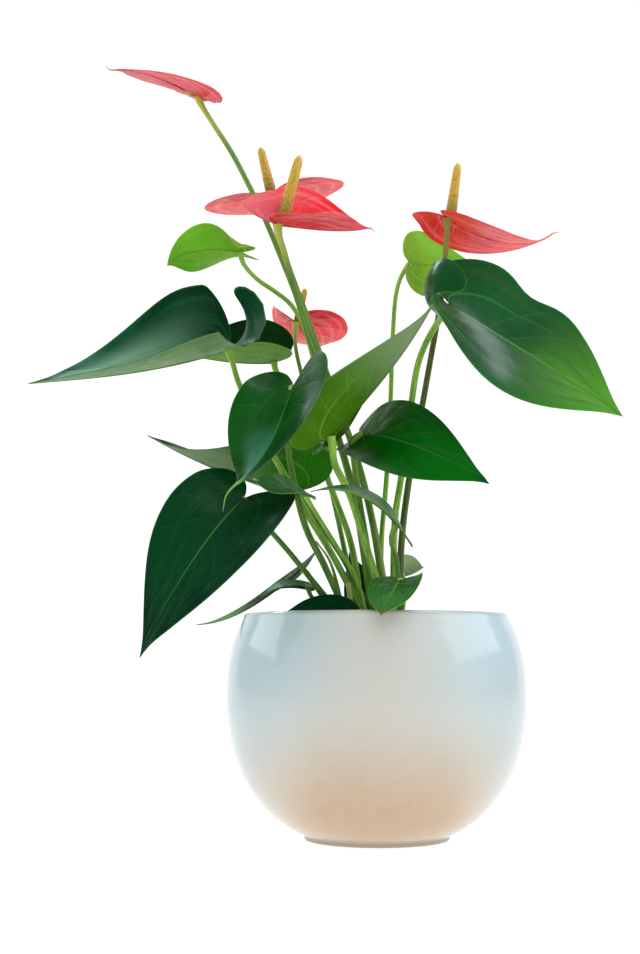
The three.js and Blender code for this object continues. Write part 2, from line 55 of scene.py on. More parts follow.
# Leaves and flowers, in the order of their numbers. looks names the finishes of the upper and the lower face.
# attach is where the stalk meets the blade, and tip is the blade's tip. roll turns the blade about the line between
# them, and width is its half width over its length. fold, at the midrib, and curl, from there to the margin and
# fading towards the tip, raise the left and the right side. bend and hook turn the midrib down, and twist turns the
# blade about it. lobes shapes the two lobes behind the notch, left and right: lift raises them, curl rolls them up,
# length stretches them, and waist narrows the blade in front of them. tail carries the tip on, and frill crumples
# the margin of the lobes. foot, radius and via are the stalk's: where it leaves the mix, its radius there and at its
# top, and the points on its way.
leaves = [
    dict(  # 1, small, young, light green, high at the left
        looks=("young", "youngBack"), slot="young_leaf", attach=(-93, 25, 402), tip=(-143, 7, 387), roll=-37,
        width=0.44, fold=(-5, 26), curl=(-85, 50), fade=1.9, bend=54, hook=25, twist=47,
        foot=(-1, 17), radius=(2.1, 1.5), via=[(-7, 18, 184), (-17, 20, 239), (-36, 24, 303), (-49, 26, 349),
        (-58, 27, 365), (-69, 27, 374), (-82, 26, 383), (-92, 25, 395)],
    ),
    dict(  # 2, small, young, behind the right-hand flower
        looks=("young", "youngBack"), slot="young_leaf", attach=(27, 35, 397), tip=(77, 75, 408), roll=95,
        width=0.36, fold=(0, -10), curl=(0, -8), fade=1, bend=40, hook=0, twist=0,
        foot=(4, 24), radius=(1.9, 1.5), via=[(5, 25, 195), (9, 27, 242), (12, 30, 290), (14, 32, 340),
        (17, 34, 375), (21, 35, 388)],
    ),
    dict(  # 3, large, dark, far to the left
        looks=("teal", "greyGreen"), lobes=dict(lift=(70, 0), curl=(-155, 0), length=(1.9, 0.3)),
        attach=(-102, 15, 330), tip=(-237, 6, 304), roll=24, width=0.42, fold=(7, 24), curl=(40, 82), fade=1.6,
        bend=-22, hook=8, twist=16,
        foot=(-2, -7), radius=(2.3, 1.9), via=[(-27, -9, 182), (-48, -17, 216), (-71, -25, 256), (-92, -1, 302),
        (-99, 14, 324)],
    ),
    dict(  # 4, behind leaf 3
        looks=("twoTone", "lightGreen"), attach=(-70, 50, 328), tip=(-150, 48, 337), roll=29, width=0.42,
        fold=(33, 38), curl=(22, 44), fade=1.2, bend=-27, hook=9, twist=0,
        foot=(-8, 9), radius=(2.3, 1.9), via=[(-15, 18, 191), (-29, 32, 234), (-47, 42, 278), (-62, 46, 311),
        (-69, 48, 322)],
    ),
    dict(  # 5, large, glossy, in front, its lower side curled up
        looks=("glossy", "darkBack"), stalkLook="deepStalk", tail=[(-5, 0, -6), (-7, 0, -16)],
        attach=(-55, -45, 292), tip=(-88, -114, 220), roll=-30, width=0.36, fold=(5, 10), curl=(-14, 79),
        fade=1.7, bend=-7, hook=-21, twist=-13,
        foot=(-14, -22), radius=(2.3, 2), via=[(-34, -23, 177), (-46, -26, 201), (-52, -29, 222),
        (-57, -31, 246), (-59, -34, 272), (-57, -39, 287)],
    ),
    dict(  # 6, in the middle, its pale underside to the front
        looks=("vivid", "grassyBack"), attach=(-30, -45, 260), tip=(35, -73, 341), roll=-9, width=0.34,
        fold=(23, 26), curl=(-42, 34), fade=1.9, bend=-9, hook=-8, twist=7,
        foot=(10, -22), radius=(2.6, 2.3), via=[(-9, -30, 196), (-18, -38, 223), (-28, -44, 243),
        (-29, -45, 252)],
    ),
    dict(  # 7, dark, hanging to the right
        looks=("vivid", "greyGreen"), stalkLook="deepStalk", attach=(-9, -15, 266), tip=(70, -61, 227),
        roll=-68, width=0.31, fold=(-14, -4), curl=(12, 94), fade=1.2, bend=69, hook=4, twist=-7,
        foot=(5, -11), radius=(2.2, 2), via=[(-6, -10, 192), (-12, -11, 229), (-15, -13, 252), (-16, -16, 261)],
    ),
    dict(  # 8, large, dark, low at the left
        looks=("dark", "greyGreen"), stalkLook="deepStalk", attach=(-87, -37, 220), tip=(-147, -82, 118),
        roll=45, width=0.3, fold=(3, -4), curl=(36, 26), fade=1.4, bend=54, hook=2, twist=20,
        foot=(-14, -11), radius=(2, 1.7), via=[(-50, -11, 178), (-68, -13, 199), (-82, -22, 213),
        (-86, -31, 217)],
    ),
    dict(  # 9, large, to the right, bright green at its tip
        looks=("brightEnd", "darkBack"), lobes=dict(lift=(0, 70), length=(1, 3.2), waist=(0.2, 0)),
        attach=(51, -20, 352), tip=(159, -44, 273), roll=-46, width=0.37, fold=(0, 2), curl=(46, 65), fade=2,
        bend=0, hook=6, twist=30,
        foot=(12, 1), radius=(2.2, 2.2), via=[(13, -4, 209), (17, -5, 236), (23, -6, 277), (30, -8, 318),
        (41, -9, 341), (47, -14, 348)],
    ),
    dict(  # 10, behind leaf 5, its underside to the front
        looks=("dark", "oliveBack"), stalkLook="deepStalk", attach=(-52, 30, 233), tip=(-153, -8, 266),
        roll=-20, width=0.42, fold=(19, 5), curl=(98, 62), fade=1.6, bend=-28, hook=3, twist=-53,
        foot=(3, -2), radius=(2.1, 1.8), via=[(-21, -8, 182), (-36, 4, 205), (-47, 14, 223), (-51, 22, 231)],
    ),
    dict(  # 11, small, nearly on edge, under leaf 5
        looks=("paleEnd", "midBack"), attach=(-46, -46, 222), tip=(-81, -46, 232), roll=22, width=0.39,
        fold=(7, 6), curl=(29, -52), fade=1.1, bend=27, hook=-16, twist=-50,
        foot=(-4, -17), radius=(1.5, 1.3), via=[(-14, -18, 170), (-25, -25, 188), (-40, -38, 211),
        (-45, -42, 219)],
    ),
    dict(  # 12, narrow, nearly on edge, across the middle
        looks=("green", "lightGreen"), stalkLook="deepStalk", attach=(12, -42, 203), tip=(-43, -72, 221),
        roll=29, width=0.36, fold=(2, 10), curl=(-9, 8), fade=1.4, bend=48, hook=14, twist=27,
        foot=(15, -29), radius=(1.6, 1.6), via=[(12, -33, 183), (9, -37, 191), (9, -40, 196)],
    ),
    dict(  # 13, small, hanging over the rim in front
        looks=("dryTip", "midBack"), attach=(13, -66, 166), tip=(-1, -107, 143), roll=0, width=0.36,
        fold=(-14, -10), curl=(68, 34), fade=1, bend=24, hook=-16, twist=6,
        foot=(16, -37), radius=(1.6, 1.5), via=[(15, -44, 155), (14, -56, 160)],
    ),
    dict(  # 14, small, low at the back
        looks=("green", "paleBack"), attach=(18, 25, 177), tip=(36, 51, 181), roll=54, width=0.33,
        fold=(0, -12), curl=(72, 80), fade=0.4, bend=36, hook=-12, twist=-25,
        foot=(17, 30), radius=(1.4, 1.3), via=[(21, 29, 160), (21, 28, 170)],
    ),
    dict(  # 15, small, low at the left
        looks=("green", "midBack"), stalkLook="deepStalk", attach=(-46, -4, 168), tip=(-77, -8, 156), roll=-12,
        width=0.33, fold=(-28, -20), curl=(-3, 13), fade=1.9, bend=74, hook=10, twist=-13,
        foot=(-22, -4), radius=(1.4, 1.3), via=[(-34, -4, 148), (-44, -4, 160)],
    ),
    dict(  # 16, long, on edge, low at the left
        looks=("green", "greyGreen"), stalkLook="deepStalk", attach=(-51, 27, 178), tip=(-121, 15, 140),
        roll=-4, width=0.3, fold=(9, 16), curl=(-8, -51), fade=2, bend=-11, hook=-30, twist=2,
        foot=(-17, 14), radius=(1.5, 1.4), via=[(-41, 19, 167), (-47, 22, 177)],
    ),
    dict(  # 17, just behind the rim at the left
        looks=("dark", "greyGreen"), attach=(-20, -44, 145), tip=(-60, -44, 146), roll=36, width=0.36,
        fold=(8, 8), curl=(20, 20), fade=1, bend=20, hook=20, twist=0,
        foot=(-12, -40), radius=(1.5, 1.3), via=[],
    ),
    dict(  # 18, upright, low between the stalks
        looks=("dark", "greyGreen"), stalkLook="deepStalk", attach=(-4, 39, 145), tip=(-17, 40, 191), roll=75,
        width=0.3, fold=(10, 10), curl=(10, 10), fade=1, bend=15, hook=5, twist=0,
        foot=(-6, 32), radius=(1.5, 1.3), via=[],
    ),
]

flowers = [
    dict(  # 1, highest, half furled, seen on edge
        looks=("red", "paleEdge"), tail=[(-4, 0, 1), (-5, 0, 4)], frill=5, attach=(-125, 30, 518),
        tip=(-177, -30, 513), roll=21, width=0.38, fold=(-1, 0), curl=(18, 7), fade=1.6, bend=10, hook=16,
        twist=12, spadixTip=(-139, 12, 522), spadixRadius=2.4,
        foot=(2, 6), radius=(2.2, 1.8), via=[(-13, 5, 224), (-28, 6, 279), (-42, 9, 328), (-52, 11, 362),
        (-63, 11, 391), (-76, 13, 423), (-92, 19, 458), (-101, 24, 476), (-123, 30, 513)],
    ),
    dict(  # 2, in front at the top, its far side folded up
        looks=("pinkWall", "redBack"), tail=[(3, 0, -3)], lobes=dict(length=(3, 1.3)), attach=(-66, -18, 409),
        tip=(-2, 10, 415), roll=-7, width=0.46, fold=(68, 20), curl=(10, -30), fade=1, bend=-2, hook=-17,
        twist=0, spadixTip=(-51, -22, 456), spadixRadius=4.6,
        foot=(10, -9), radius=(2.4, 2.2), via=[(1, -4, 193), (-10, 2, 244), (-25, 4, 289), (-39, 0, 326),
        (-51, -6, 356), (-57, -12, 374), (-62, -16, 392), (-65, -18, 401)],
    ),
    dict(  # 3, behind flower 2, pointing back
        looks=("red", "redBack"), attach=(-72, 30, 446), tip=(-66, 134, 465), roll=11, width=0.49, fold=(2, 11),
        curl=(7, -18), fade=2.1, bend=-9, hook=-10, twist=9, spadixTip=(-80, 32, 481), spadixRadius=4,
        foot=(9, 9), radius=(2.1, 1.7), via=[(-2, 15, 211), (-16, 22, 267), (-33, 28, 318), (-48, 32, 362),
        (-59, 33, 393), (-69, 34, 424), (-74, 34, 446)],
    ),
    dict(  # 4, to the right, seen from below
        looks=("red", "redBack"), stalkLook="darkStalk", tail=[(5, 0, 1)],
        lobes=dict(lift=(-30, -15), length=(1.9, 1.3)), attach=(51, 5, 421), tip=(131, 47, 422), roll=-22,
        width=0.39, fold=(-12, 0), curl=(-21, 17), fade=1.7, bend=-29, hook=-30, twist=-18,
        spadixTip=(59, 5, 460), spadixRadius=4,
        foot=(16, 9), radius=(2.4, 1.9), via=[(18, 10, 194), (23, 10, 235), (30, 11, 273), (39, 11, 322),
        (47, 10, 367), (50, 8, 396), (51, 6, 414)],
    ),
    dict(  # 5, small, behind the middle
        looks=("red", "redBack"), attach=(-55, 60, 360), tip=(-32, 126, 359), roll=4, width=0.45, fold=(19, 1),
        curl=(63, 25), fade=1.6, bend=-29, hook=-22, twist=-8, spadixTip=(-48, 62, 385), spadixRadius=3,
        foot=(-9, 22), radius=(1.9, 1.4), via=[(-21, 28, 195), (-31, 42, 242), (-41, 50, 282), (-51, 55, 322),
        (-55, 58, 342), (-55, 60, 354)],
    ),
]

shoots = [
    dict(  # 1, thin, leaning to the left
        foot=(-19, 4), radius=(2, 0.5), via=[(-30, 4, 181), (-40, 4, 196)],
    ),
    dict(  # 2, short, in front
        foot=(-16, -31), radius=(2.4, 1.6), via=[(-18, -30, 158), (-19, -30, 166)],
    ),
    dict(  # 3, between the front stalks
        foot=(11, -16), radius=(2.6, 0.5), via=[(3, -21, 181), (1, -22, 197)],
    ),
]

# Fineness and small forms of the blades
bladeShape = dict(
    rows=52, columns=26, thickness=0.5, leastFade=0.02, flat=0.001, near=0.01,
    lobeReach=0.19, waistPlace=0.28, waistSpread=0.15,
    fullLength=110, wave=1.1, waveCount=5, waveSeed=7.3, ripple=0.25, rippleCount=(13, 6), rippleSeed=3.1,
    frillCount=36, frillReach=2.2, frillEdge=8,
)
plainLobes = dict(lift=(0, 0), curl=(0, 0), length=(1, 1), waist=(0, 0))


def splinePoint(points, t):
    # A point at t of a uniform Catmull-Rom line through 2-D points
    last = len(points) - 1
    place = last * t
    i = min(int(place), last)
    w = place - i
    result = []
    for a, b, c, d in zip(points[max(i - 1, 0)], points[i], points[min(i + 1, last)], points[min(i + 2, last)]):
        v0, v1 = (c - a) / 2, (d - b) / 2
        result.append((2 * b - 2 * c + v0 + v1) * w**3 + (-3 * b + 3 * c - 2 * v0 - v1) * w**2 + v0 * w + b)
    return result


class Blade:
    # A leaf blade or a spathe: a flat outline, folded along its midrib, rolled at its sides and bent
    def __init__(self, outline, form):
        self.outline = outline
        self.form = form
        self.lobes = plainLobes | form.get("lobes", {})
        self.attach = Vector(form["attach"])
        chord = Vector(form["tip"]) - self.attach
        self.along = chord.normalized()
        level = Vector((-self.along.y, self.along.x, 0)).normalized()
        upward = self.along.cross(level)
        roll = math.radians(form["roll"])
        self.out = upward * math.cos(roll) + level * math.sin(roll)
        self.left = level * math.cos(roll) - upward * math.sin(roll)
        reach, rise = self.midrib(1)
        self.length = chord.length / math.hypot(reach, rise)
        self.lean = math.atan2(rise, reach)
        self.halfWidth = self.length * form["width"]

    # The midrib's slope at u, and how far a point on it lies along and above its base, for a blade of length 1
    def slope(self, u, side):
        lift = math.radians(self.lobes["lift"][side]) * min(u, 0) / bladeShape["lobeReach"]
        return lift - math.radians(self.form["bend"]) * u - math.radians(self.form["hook"]) * max(u, 0) ** 3

    def midrib(self, u, side=0, steps=24):
        reach = rise = 0
        for i in range(steps):
            angle = self.slope(u * (i + 0.5) / steps, side)
            reach += math.cos(angle) * u / steps
            rise += math.sin(angle) * u / steps
        return reach, rise

    # The place of a point of the flat outline: u along as a part of the length, v across of the half width
    def point(self, u, v):
        side = 1 if v < 0 else 0
        within = min(max(u, 0), 1)
        behind = min(max(-u / bladeShape["lobeReach"], 0), 1)
        place = u * self.lobes["length"][side] if u < 0 else u
        fromWaist = (u - bladeShape["waistPlace"]) / bladeShape["waistSpread"]
        waist = self.lobes["waist"][side] * math.exp(-(fromWaist**2))
        fold = math.radians(self.form["fold"][side])
        fading = max(1 - within, bladeShape["leastFade"]) ** self.form["fade"]
        curl = math.radians(self.form["curl"][side]) * fading
        curl = curl + math.radians(self.lobes["curl"][side]) * behind or bladeShape["flat"]
        turned = fold + curl * abs(v) * (1 - waist)
        across = (math.sin(turned) - math.sin(fold)) / curl * self.halfWidth * (-1 if side else 1)
        above = (math.cos(fold) - math.cos(turned)) / curl * self.halfWidth
        twist = math.radians(self.form["twist"]) * within
        across, above = (
            across * math.cos(twist) - above * math.sin(twist),
            across * math.sin(twist) + above * math.cos(twist),
        )
        reach, rise = (distance * self.length for distance in self.midrib(place, side))
        angle = self.slope(place, side) - self.lean
        flat = reach * math.cos(self.lean) + rise * math.sin(self.lean) - above * math.sin(angle)
        high = rise * math.cos(self.lean) - reach * math.sin(self.lean) + above * math.cos(angle)
        return self.attach + self.along * flat + self.out * high + self.left * across

    def normal(self, u, v):
        near = bladeShape["near"]
        alongFace = self.point(u + near, v) - self.point(u - near, v)
        return alongFace.cross(self.point(u, v + near) - self.point(u, v - near)).normalized()

    # s runs from the notch to the tip and t from the right margin to the left
    def surface(self, s, t):
        margin = splinePoint(self.outline, s)
        return self.point(s * s + (margin[0] - s * s) * abs(t), margin[1] * t)


def curvePoints(points, spacing, samples=24):
    # Evenly spaced points on a centripetal Catmull-Rom curve, as the part's source draws it
    ends = [points[0] * 2 - points[1], *points, points[-1] * 2 - points[-2]]
    dense = []
    for p0, p1, p2, p3 in zip(ends, ends[1:], ends[2:], ends[3:]):
        d0, d1, d2 = (max((b - a).length ** 0.5, 0.01) for a, b in ((p0, p1), (p1, p2), (p2, p3)))
        t1 = ((p1 - p0) / d0 - (p2 - p0) / (d0 + d1) + (p2 - p1) / d1) * d1
        t2 = ((p2 - p1) / d1 - (p3 - p1) / (d1 + d2) + (p3 - p2) / d2) * d1
        cubic = (p1 - p2) * 2 + t1 + t2
        for i in range(samples):
            w = i / samples
            dense.append(cubic * w**3 + ((p2 - p1) * 3 - t1 * 2 - t2) * w**2 + t1 * w + p1)
    dense.append(points[-1])
    travelled = [0]
    for a, b in zip(dense, dense[1:]):
        travelled.append(travelled[-1] + (b - a).length)
    steps = max(4, round(travelled[-1] / spacing))
    places, k = [], 0
    for i in range(steps + 1):
        wanted = travelled[-1] * i / steps
        while k < len(dense) - 2 and travelled[k + 1] < wanted:
            k += 1
        w = (wanted - travelled[k]) / max(travelled[k + 1] - travelled[k], 1e-9)
        places.append(dense[k].lerp(dense[k + 1], min(w, 1)))
    return places


def barFrames(places):
    # Two directions across the line at each place, carried along it without turning
    frames, side = [], None
    for i, place in enumerate(places):
        direction = (places[min(i + 1, len(places) - 1)] - places[max(i - 1, 0)]).normalized()
        if side is None:
            side = direction.orthogonal()
        side = (side - direction * side.dot(direction)).normalized()
        frames.append((place, side, direction.cross(side)))
    return frames


def addBar(mesh, places, sides, radiusAt, layer, valueAt, material=0):
    # A round bar along the places: an upright cylinder, cut across and moved ring by ring
    steps = len(places) - 1
    for vertex in mesh.verts:
        vertex.tag = True
    bmesh.ops.create_cone(mesh, cap_ends=True, segments=sides, radius1=1, radius2=1, depth=1)
    fresh = [e for e in mesh.edges if not e.verts[0].tag]
    upright = [e for e in fresh if abs(e.verts[0].co.z - e.verts[1].co.z) > 0.5]
    bmesh.ops.subdivide_edges(mesh, edges=upright, cuts=steps - 1, use_grid_fill=True)
    ring = [v for v in mesh.verts if not v.tag]
    frames = barFrames(places)
    for vertex in ring:
        k = round((vertex.co.z + 0.5) * steps)
        angle = math.atan2(vertex.co.y, vertex.co.x)
        place, side, other = frames[k]
        radius = radiusAt(k / steps, angle)
        vertex[layer] = valueAt(k / steps, angle)
        vertex.co = (place + side * (math.cos(angle) * radius) + other * (math.sin(angle) * radius)) * millimetre
    for face in {f for v in ring for f in v.link_faces}:
        face.material_index = material


def placeObject(name, data):
    thing = bpy.data.objects.new(name, data)
    bpy.context.scene.collection.objects.link(thing)
    return thing


def placeMesh(name, mesh, finishes):
    data = bpy.data.meshes.new(name)
    mesh.to_mesh(data)
    mesh.free()
    data.shade_smooth()
    for material in finishes:
        data.materials.append(material)
    return placeObject(name, data)


def addPiece(name, mesh, finishes, node, sharpAngle=50):
    # The mesh as an object that rides on the plant's one body, with the imported part of its node hidden
    piece = placeMesh(name, mesh, finishes)
    piece.data.set_sharp_from_angle(angle=math.radians(sharpAngle))
    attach(piece, "root")
    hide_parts(node)


def addBarPiece(name, places, sides, radiusAt, finish, sharpAngle=50):
    # A bar as a piece of its own. Its grain runs round it, and along it from 0 to 6
    mesh = bmesh.new()
    grain = mesh.verts.layers.float_vector.new("grain")
    addBar(mesh, places, sides, radiusAt, grain, lambda t, angle: (math.cos(angle), math.sin(angle), 6 * t))
    addPiece(name, mesh, [finish], name, sharpAngle)


def linear(colour):
    # A colour as seen, 0 to 255, as the linear colour that a shader takes
    shades = [c / 255 for c in colour]
    return (*(c / 12.92 if c <= 0.04045 else ((c + 0.055) / 1.055) ** 2.4 for c in shades), 1)


class Nodes:
    # The nodes of a finish or of a group that finishes share
    def __init__(self, tree):
        self.tree = tree

    def fill(self, sockets, values):
        for key, value in values.items():
            if isinstance(value, bpy.types.NodeSocket):
                self.tree.links.new(value, sockets[key])
            else:
                sockets[key].default_value = value

    def add(self, kind, inputs, **settings):
        node = self.tree.nodes.new("ShaderNode" + kind)
        for name, value in settings.items():
            setattr(node, name, value)
        self.fill(node.inputs, inputs)
        return node.outputs

    def shade(self, values):
        self.fill(self.tree.nodes["Principled BSDF"].inputs, values)

    def math(self, operation, a, b=0.0):
        return self.add("Math", {0: a, 1: b}, operation=operation)[0]

    def times(self, a, b):
        return self.math("MULTIPLY", a, b)

    def less(self, a, b):
        return self.math("SUBTRACT", a, b)

    def most(self, a, b):
        return self.math("MAXIMUM", a, b)

    def size(self, a):
        return self.math("ABSOLUTE", a)

    def fade(self, value, start, end, low=0.0, high=1.0):
        # Smoothly from low at start to high at end
        inputs = dict(enumerate((value, start, end, low, high)))
        return self.add("MapRange", inputs, interpolation_type="SMOOTHSTEP")[0]

    def blend(self, factor, a, b):
        # From a to b, each a colour as seen or another node's
        a, b = (linear(c) if isinstance(c, tuple) else c for c in (a, b))
        return self.add("Mix", {0: factor, 6: a, 7: b}, data_type="RGBA")[2]

    def layers(self, look, ground, *masks):
        # A colour of the look, and others over it, each by its mask
        colour = look[ground]
        for mask, over in masks:
            colour = self.blend(mask, colour, look[over])
        return colour

    def speckle(self, vector, scale, detail=3.0):
        return self.add("TexNoise", {"Vector": vector, "Scale": scale, "Detail": detail, "Roughness": 0.55})[0]

    def relief(self, height, distance, strength=1.0):
        return self.add("Bump", {"Height": height, "Distance": distance, "Strength": strength})[0]

    def split(self, vector):
        return self.add("SeparateXYZ", {0: vector})

    def layer(self, name):
        return self.add("Attribute", {}, attribute_name=name)["Vector"]

    def place(self):
        return self.add("TexCoord", {})["Object"]

    def patches(self, place, size):
        return self.add("Group", {"Place": place, "Size": size}, node_tree=mottle)


def newFinish(name):
    material = bpy.data.materials.new(name)
    material.use_nodes = True
    return material, Nodes(material.node_tree)


def newGroup(name, ins, outs):
    tree = bpy.data.node_groups.new(name, "ShaderNodeTree")
    for title, kind in ins.items():
        tree.interface.new_socket(name=title, in_out="INPUT", socket_type="NodeSocket" + kind)
    for title in outs:
        tree.interface.new_socket(name=title, in_out="OUTPUT", socket_type="NodeSocketFloat")
    return tree, Nodes(tree), tree.nodes.new("NodeGroupInput").outputs, tree.nodes.new("NodeGroupOutput").inputs


# A pair says where a line starts to show and where it shows in full. The arch is the vein that runs from the notch
# along each side's margin.
veinShape = dict(
    rib=(0.026, 0.006), margin=(0.975, 1.0), marginStrength=0.7, rise=0.8, wander=0.012, wanderScale=30.0,
    sideReach=(0.92, 0.8), archStart=0.26, archSlope=0.55, archWidth=(0.03, 0.006), archReach=(0.75, 0.2),
    net=(0.09, 0.0), streakStretch=(1.6, 7.0, 1.0), streaks=(0.45, 0.7),
)


def makeVeinGroup():
    # Midrib, side veins and the fine net between them, from the place in the sheet
    shape = veinShape
    group, n, given, out = newGroup(
        "leafVeins",
        dict(Sheet="Vector", Place="Vector", Count="Float", Slant="Float", Width="Float", Cells="Float"),
        ["Rib", "Side", "Net", "Swell", "Arch", "Streaks"],
    )
    s, across, _ = n.split(given["Sheet"])
    t = n.size(across)
    rib = n.most(n.fade(t, *shape["rib"]), n.fade(t, *shape["margin"], 0.0, shape["marginStrength"]))
    wander = n.times(n.less(n.speckle(given["Place"], shape["wanderScale"], 1), 0.5), shape["wander"])
    curve = n.times(n.math("POWER", t, shape["rise"]), given["Slant"])
    steps = n.times(n.less(n.math("ADD", s, wander), curve), given["Count"])
    near = n.math("PINGPONG", steps, 0.5)
    arch = n.less(n.less(t, shape["archStart"]), n.times(s, shape["archSlope"]))
    cells = n.add(
        "TexVoronoi", {"Vector": given["Place"], "Scale": given["Cells"]}, feature="DISTANCE_TO_EDGE"
    )["Distance"]
    stretched = n.add("VectorMath", {0: given["Sheet"], 1: shape["streakStretch"]}, operation="MULTIPLY")[0]
    n.fill(out, dict(
        Rib=rib,
        Side=n.times(n.fade(near, given["Width"], 0.0), n.fade(t, *shape["sideReach"])),
        Net=n.fade(cells, *shape["net"]),
        Swell=n.math("SINE", n.times(near, math.pi)),
        Arch=n.times(n.fade(n.size(arch), *shape["archWidth"]), n.fade(s, *shape["archReach"])),
        Streaks=n.fade(n.speckle(stretched, 1.0, 1.5), *shape["streaks"]),
    ))
    return group


mottleShape = dict(spread=(0.35, 0.65), finer=9.0)


def makeMottleGroup():
    # Broad and fine unevenness of a living surface
    group, n, given, out = newGroup("mottle", dict(Place="Vector", Size="Float"), ["Broad", "Fine"])
    finer = n.times(given["Size"], mottleShape["finer"])
    n.fill(out, dict(
        Broad=n.fade(n.speckle(given["Place"], given["Size"], 4), *mottleShape["spread"]),
        Fine=n.fade(n.speckle(given["Place"], finer, 3), *mottleShape["spread"]),
    ))
    return group


veins = makeVeinGroup()
mottle = makeMottleGroup()


def bladeFinish(name, look):
    # One face of a blade: its ground, its veins, its end and its gloss
    material, n = newFinish(name)
    sheet, place = n.layer("sheet"), n.place()
    along, across, _ = n.split(sheet)
    masks = n.add("Group", {
        "Sheet": sheet, "Place": place, "Count": look["veinCount"], "Slant": look["veinSlant"],
        "Width": look["veinWidth"], "Cells": look["cells"],
    }, node_tree=veins)
    patches = n.patches(place, look["patchSize"])
    # A stripe along the blade, paler and with more coat. On the teal and glossy looks its colour is a painted sheen.
    offTintAndSheen = n.size(n.less(across, look["tintAndSheenAt"]))
    tintAndSheen = n.fade(offTintAndSheen, look["tintAndSheenWidth"], look["tintAndSheenWidth"] * look["tintAndSheenCore"])
    tintAndSheen = n.times(tintAndSheen, n.fade(along, *look["tintAndSheenReach"]))
    lines = n.times(masks["Rib"], look["rib"])
    for mask, strength in (("Arch", "arch"), ("Side", "side"), ("Net", "net")):
        lines = n.most(lines, n.times(masks[mask], look[strength]))
    height = n.times(masks["Swell"], look["swell"])
    for mask, depth in (("Side", "sunk"), ("Rib", "sunk"), ("Net", "net")):
        height = n.less(height, n.times(masks[mask], look[depth]))
    height = n.math("ADD", height, n.times(patches["Fine"], look["grain"]))
    rough = [look["rough"] + more for more in look["roughSpread"]]
    n.shade({
        "Base Color": n.layers(
            look, "deep", (patches["Broad"], "light"), (n.fade(along, *look["endAt"]), "end"),
            (n.times(tintAndSheen, look["tintAndSheenStrength"]), "tintAndSheen"), (n.times(masks["Streaks"], look["streaks"]), "streak"),
            (lines, "vein"),
        ),
        "Roughness": n.fade(patches["Fine"], 0, 1, *rough),
        "Normal": n.relief(height, look["reliefDepth"]),
        "Specular IOR Level": look["shine"],
        "Coat Weight": n.fade(tintAndSheen, 0, 1, look["coat"], look["tintAndSheenCoat"]),
        "Coat Roughness": 0.22,
        "Subsurface Weight": look["glow"],
        "Subsurface Radius": look["glowRadius"],
        "Subsurface Scale": 0.004,
    })
    return material


# Looks of the faces. deep and light are the ground, and a stripe along the blade is paler and glossier: on the teal and
# glossy looks of leaves 3 and 5 its colour is a painted sheen, a painted reflection of the window light, and on the
# other looks it is a paler colour laid along the blade. rib, arch, side, net and streaks say how strongly each kind of
# line shows.
leafBase = dict(
    deep=(0, 36, 19), light=(0, 58, 26), vein=(78, 140, 60), end=(2, 66, 32), streak=(8, 80, 44),
    endAt=(0.9, 1.0), tintAndSheen=(0, 60, 30), tintAndSheenAt=0.0, tintAndSheenWidth=0.6, tintAndSheenReach=(0.1, 0.3), tintAndSheenStrength=0.0,
    tintAndSheenCoat=0.04, veinCount=9.0, veinSlant=0.16, veinWidth=0.05, cells=150.0, patchSize=14.0, rib=0.6,
    arch=0.1, side=0.05, net=0.0, streaks=0.25, rough=0.34, swell=0.4, sunk=0.15, shine=0.04,
    reliefDepth=0.0005, coat=0.04, glow=0.04, glowRadius=(0.2, 1.0, 0.2), tintAndSheenCore=0.3,
    roughSpread=(-0.05, 0.07), grain=0.03,
)
backBase = dict(
    leafBase, deep=(86, 124, 74), light=(112, 148, 92), vein=(150, 180, 108), end=(140, 164, 100),
    streak=(134, 162, 108), rib=1.0, arch=0.6, side=0.2, net=0.06, rough=0.5, swell=-0.4, sunk=-0.35,
)
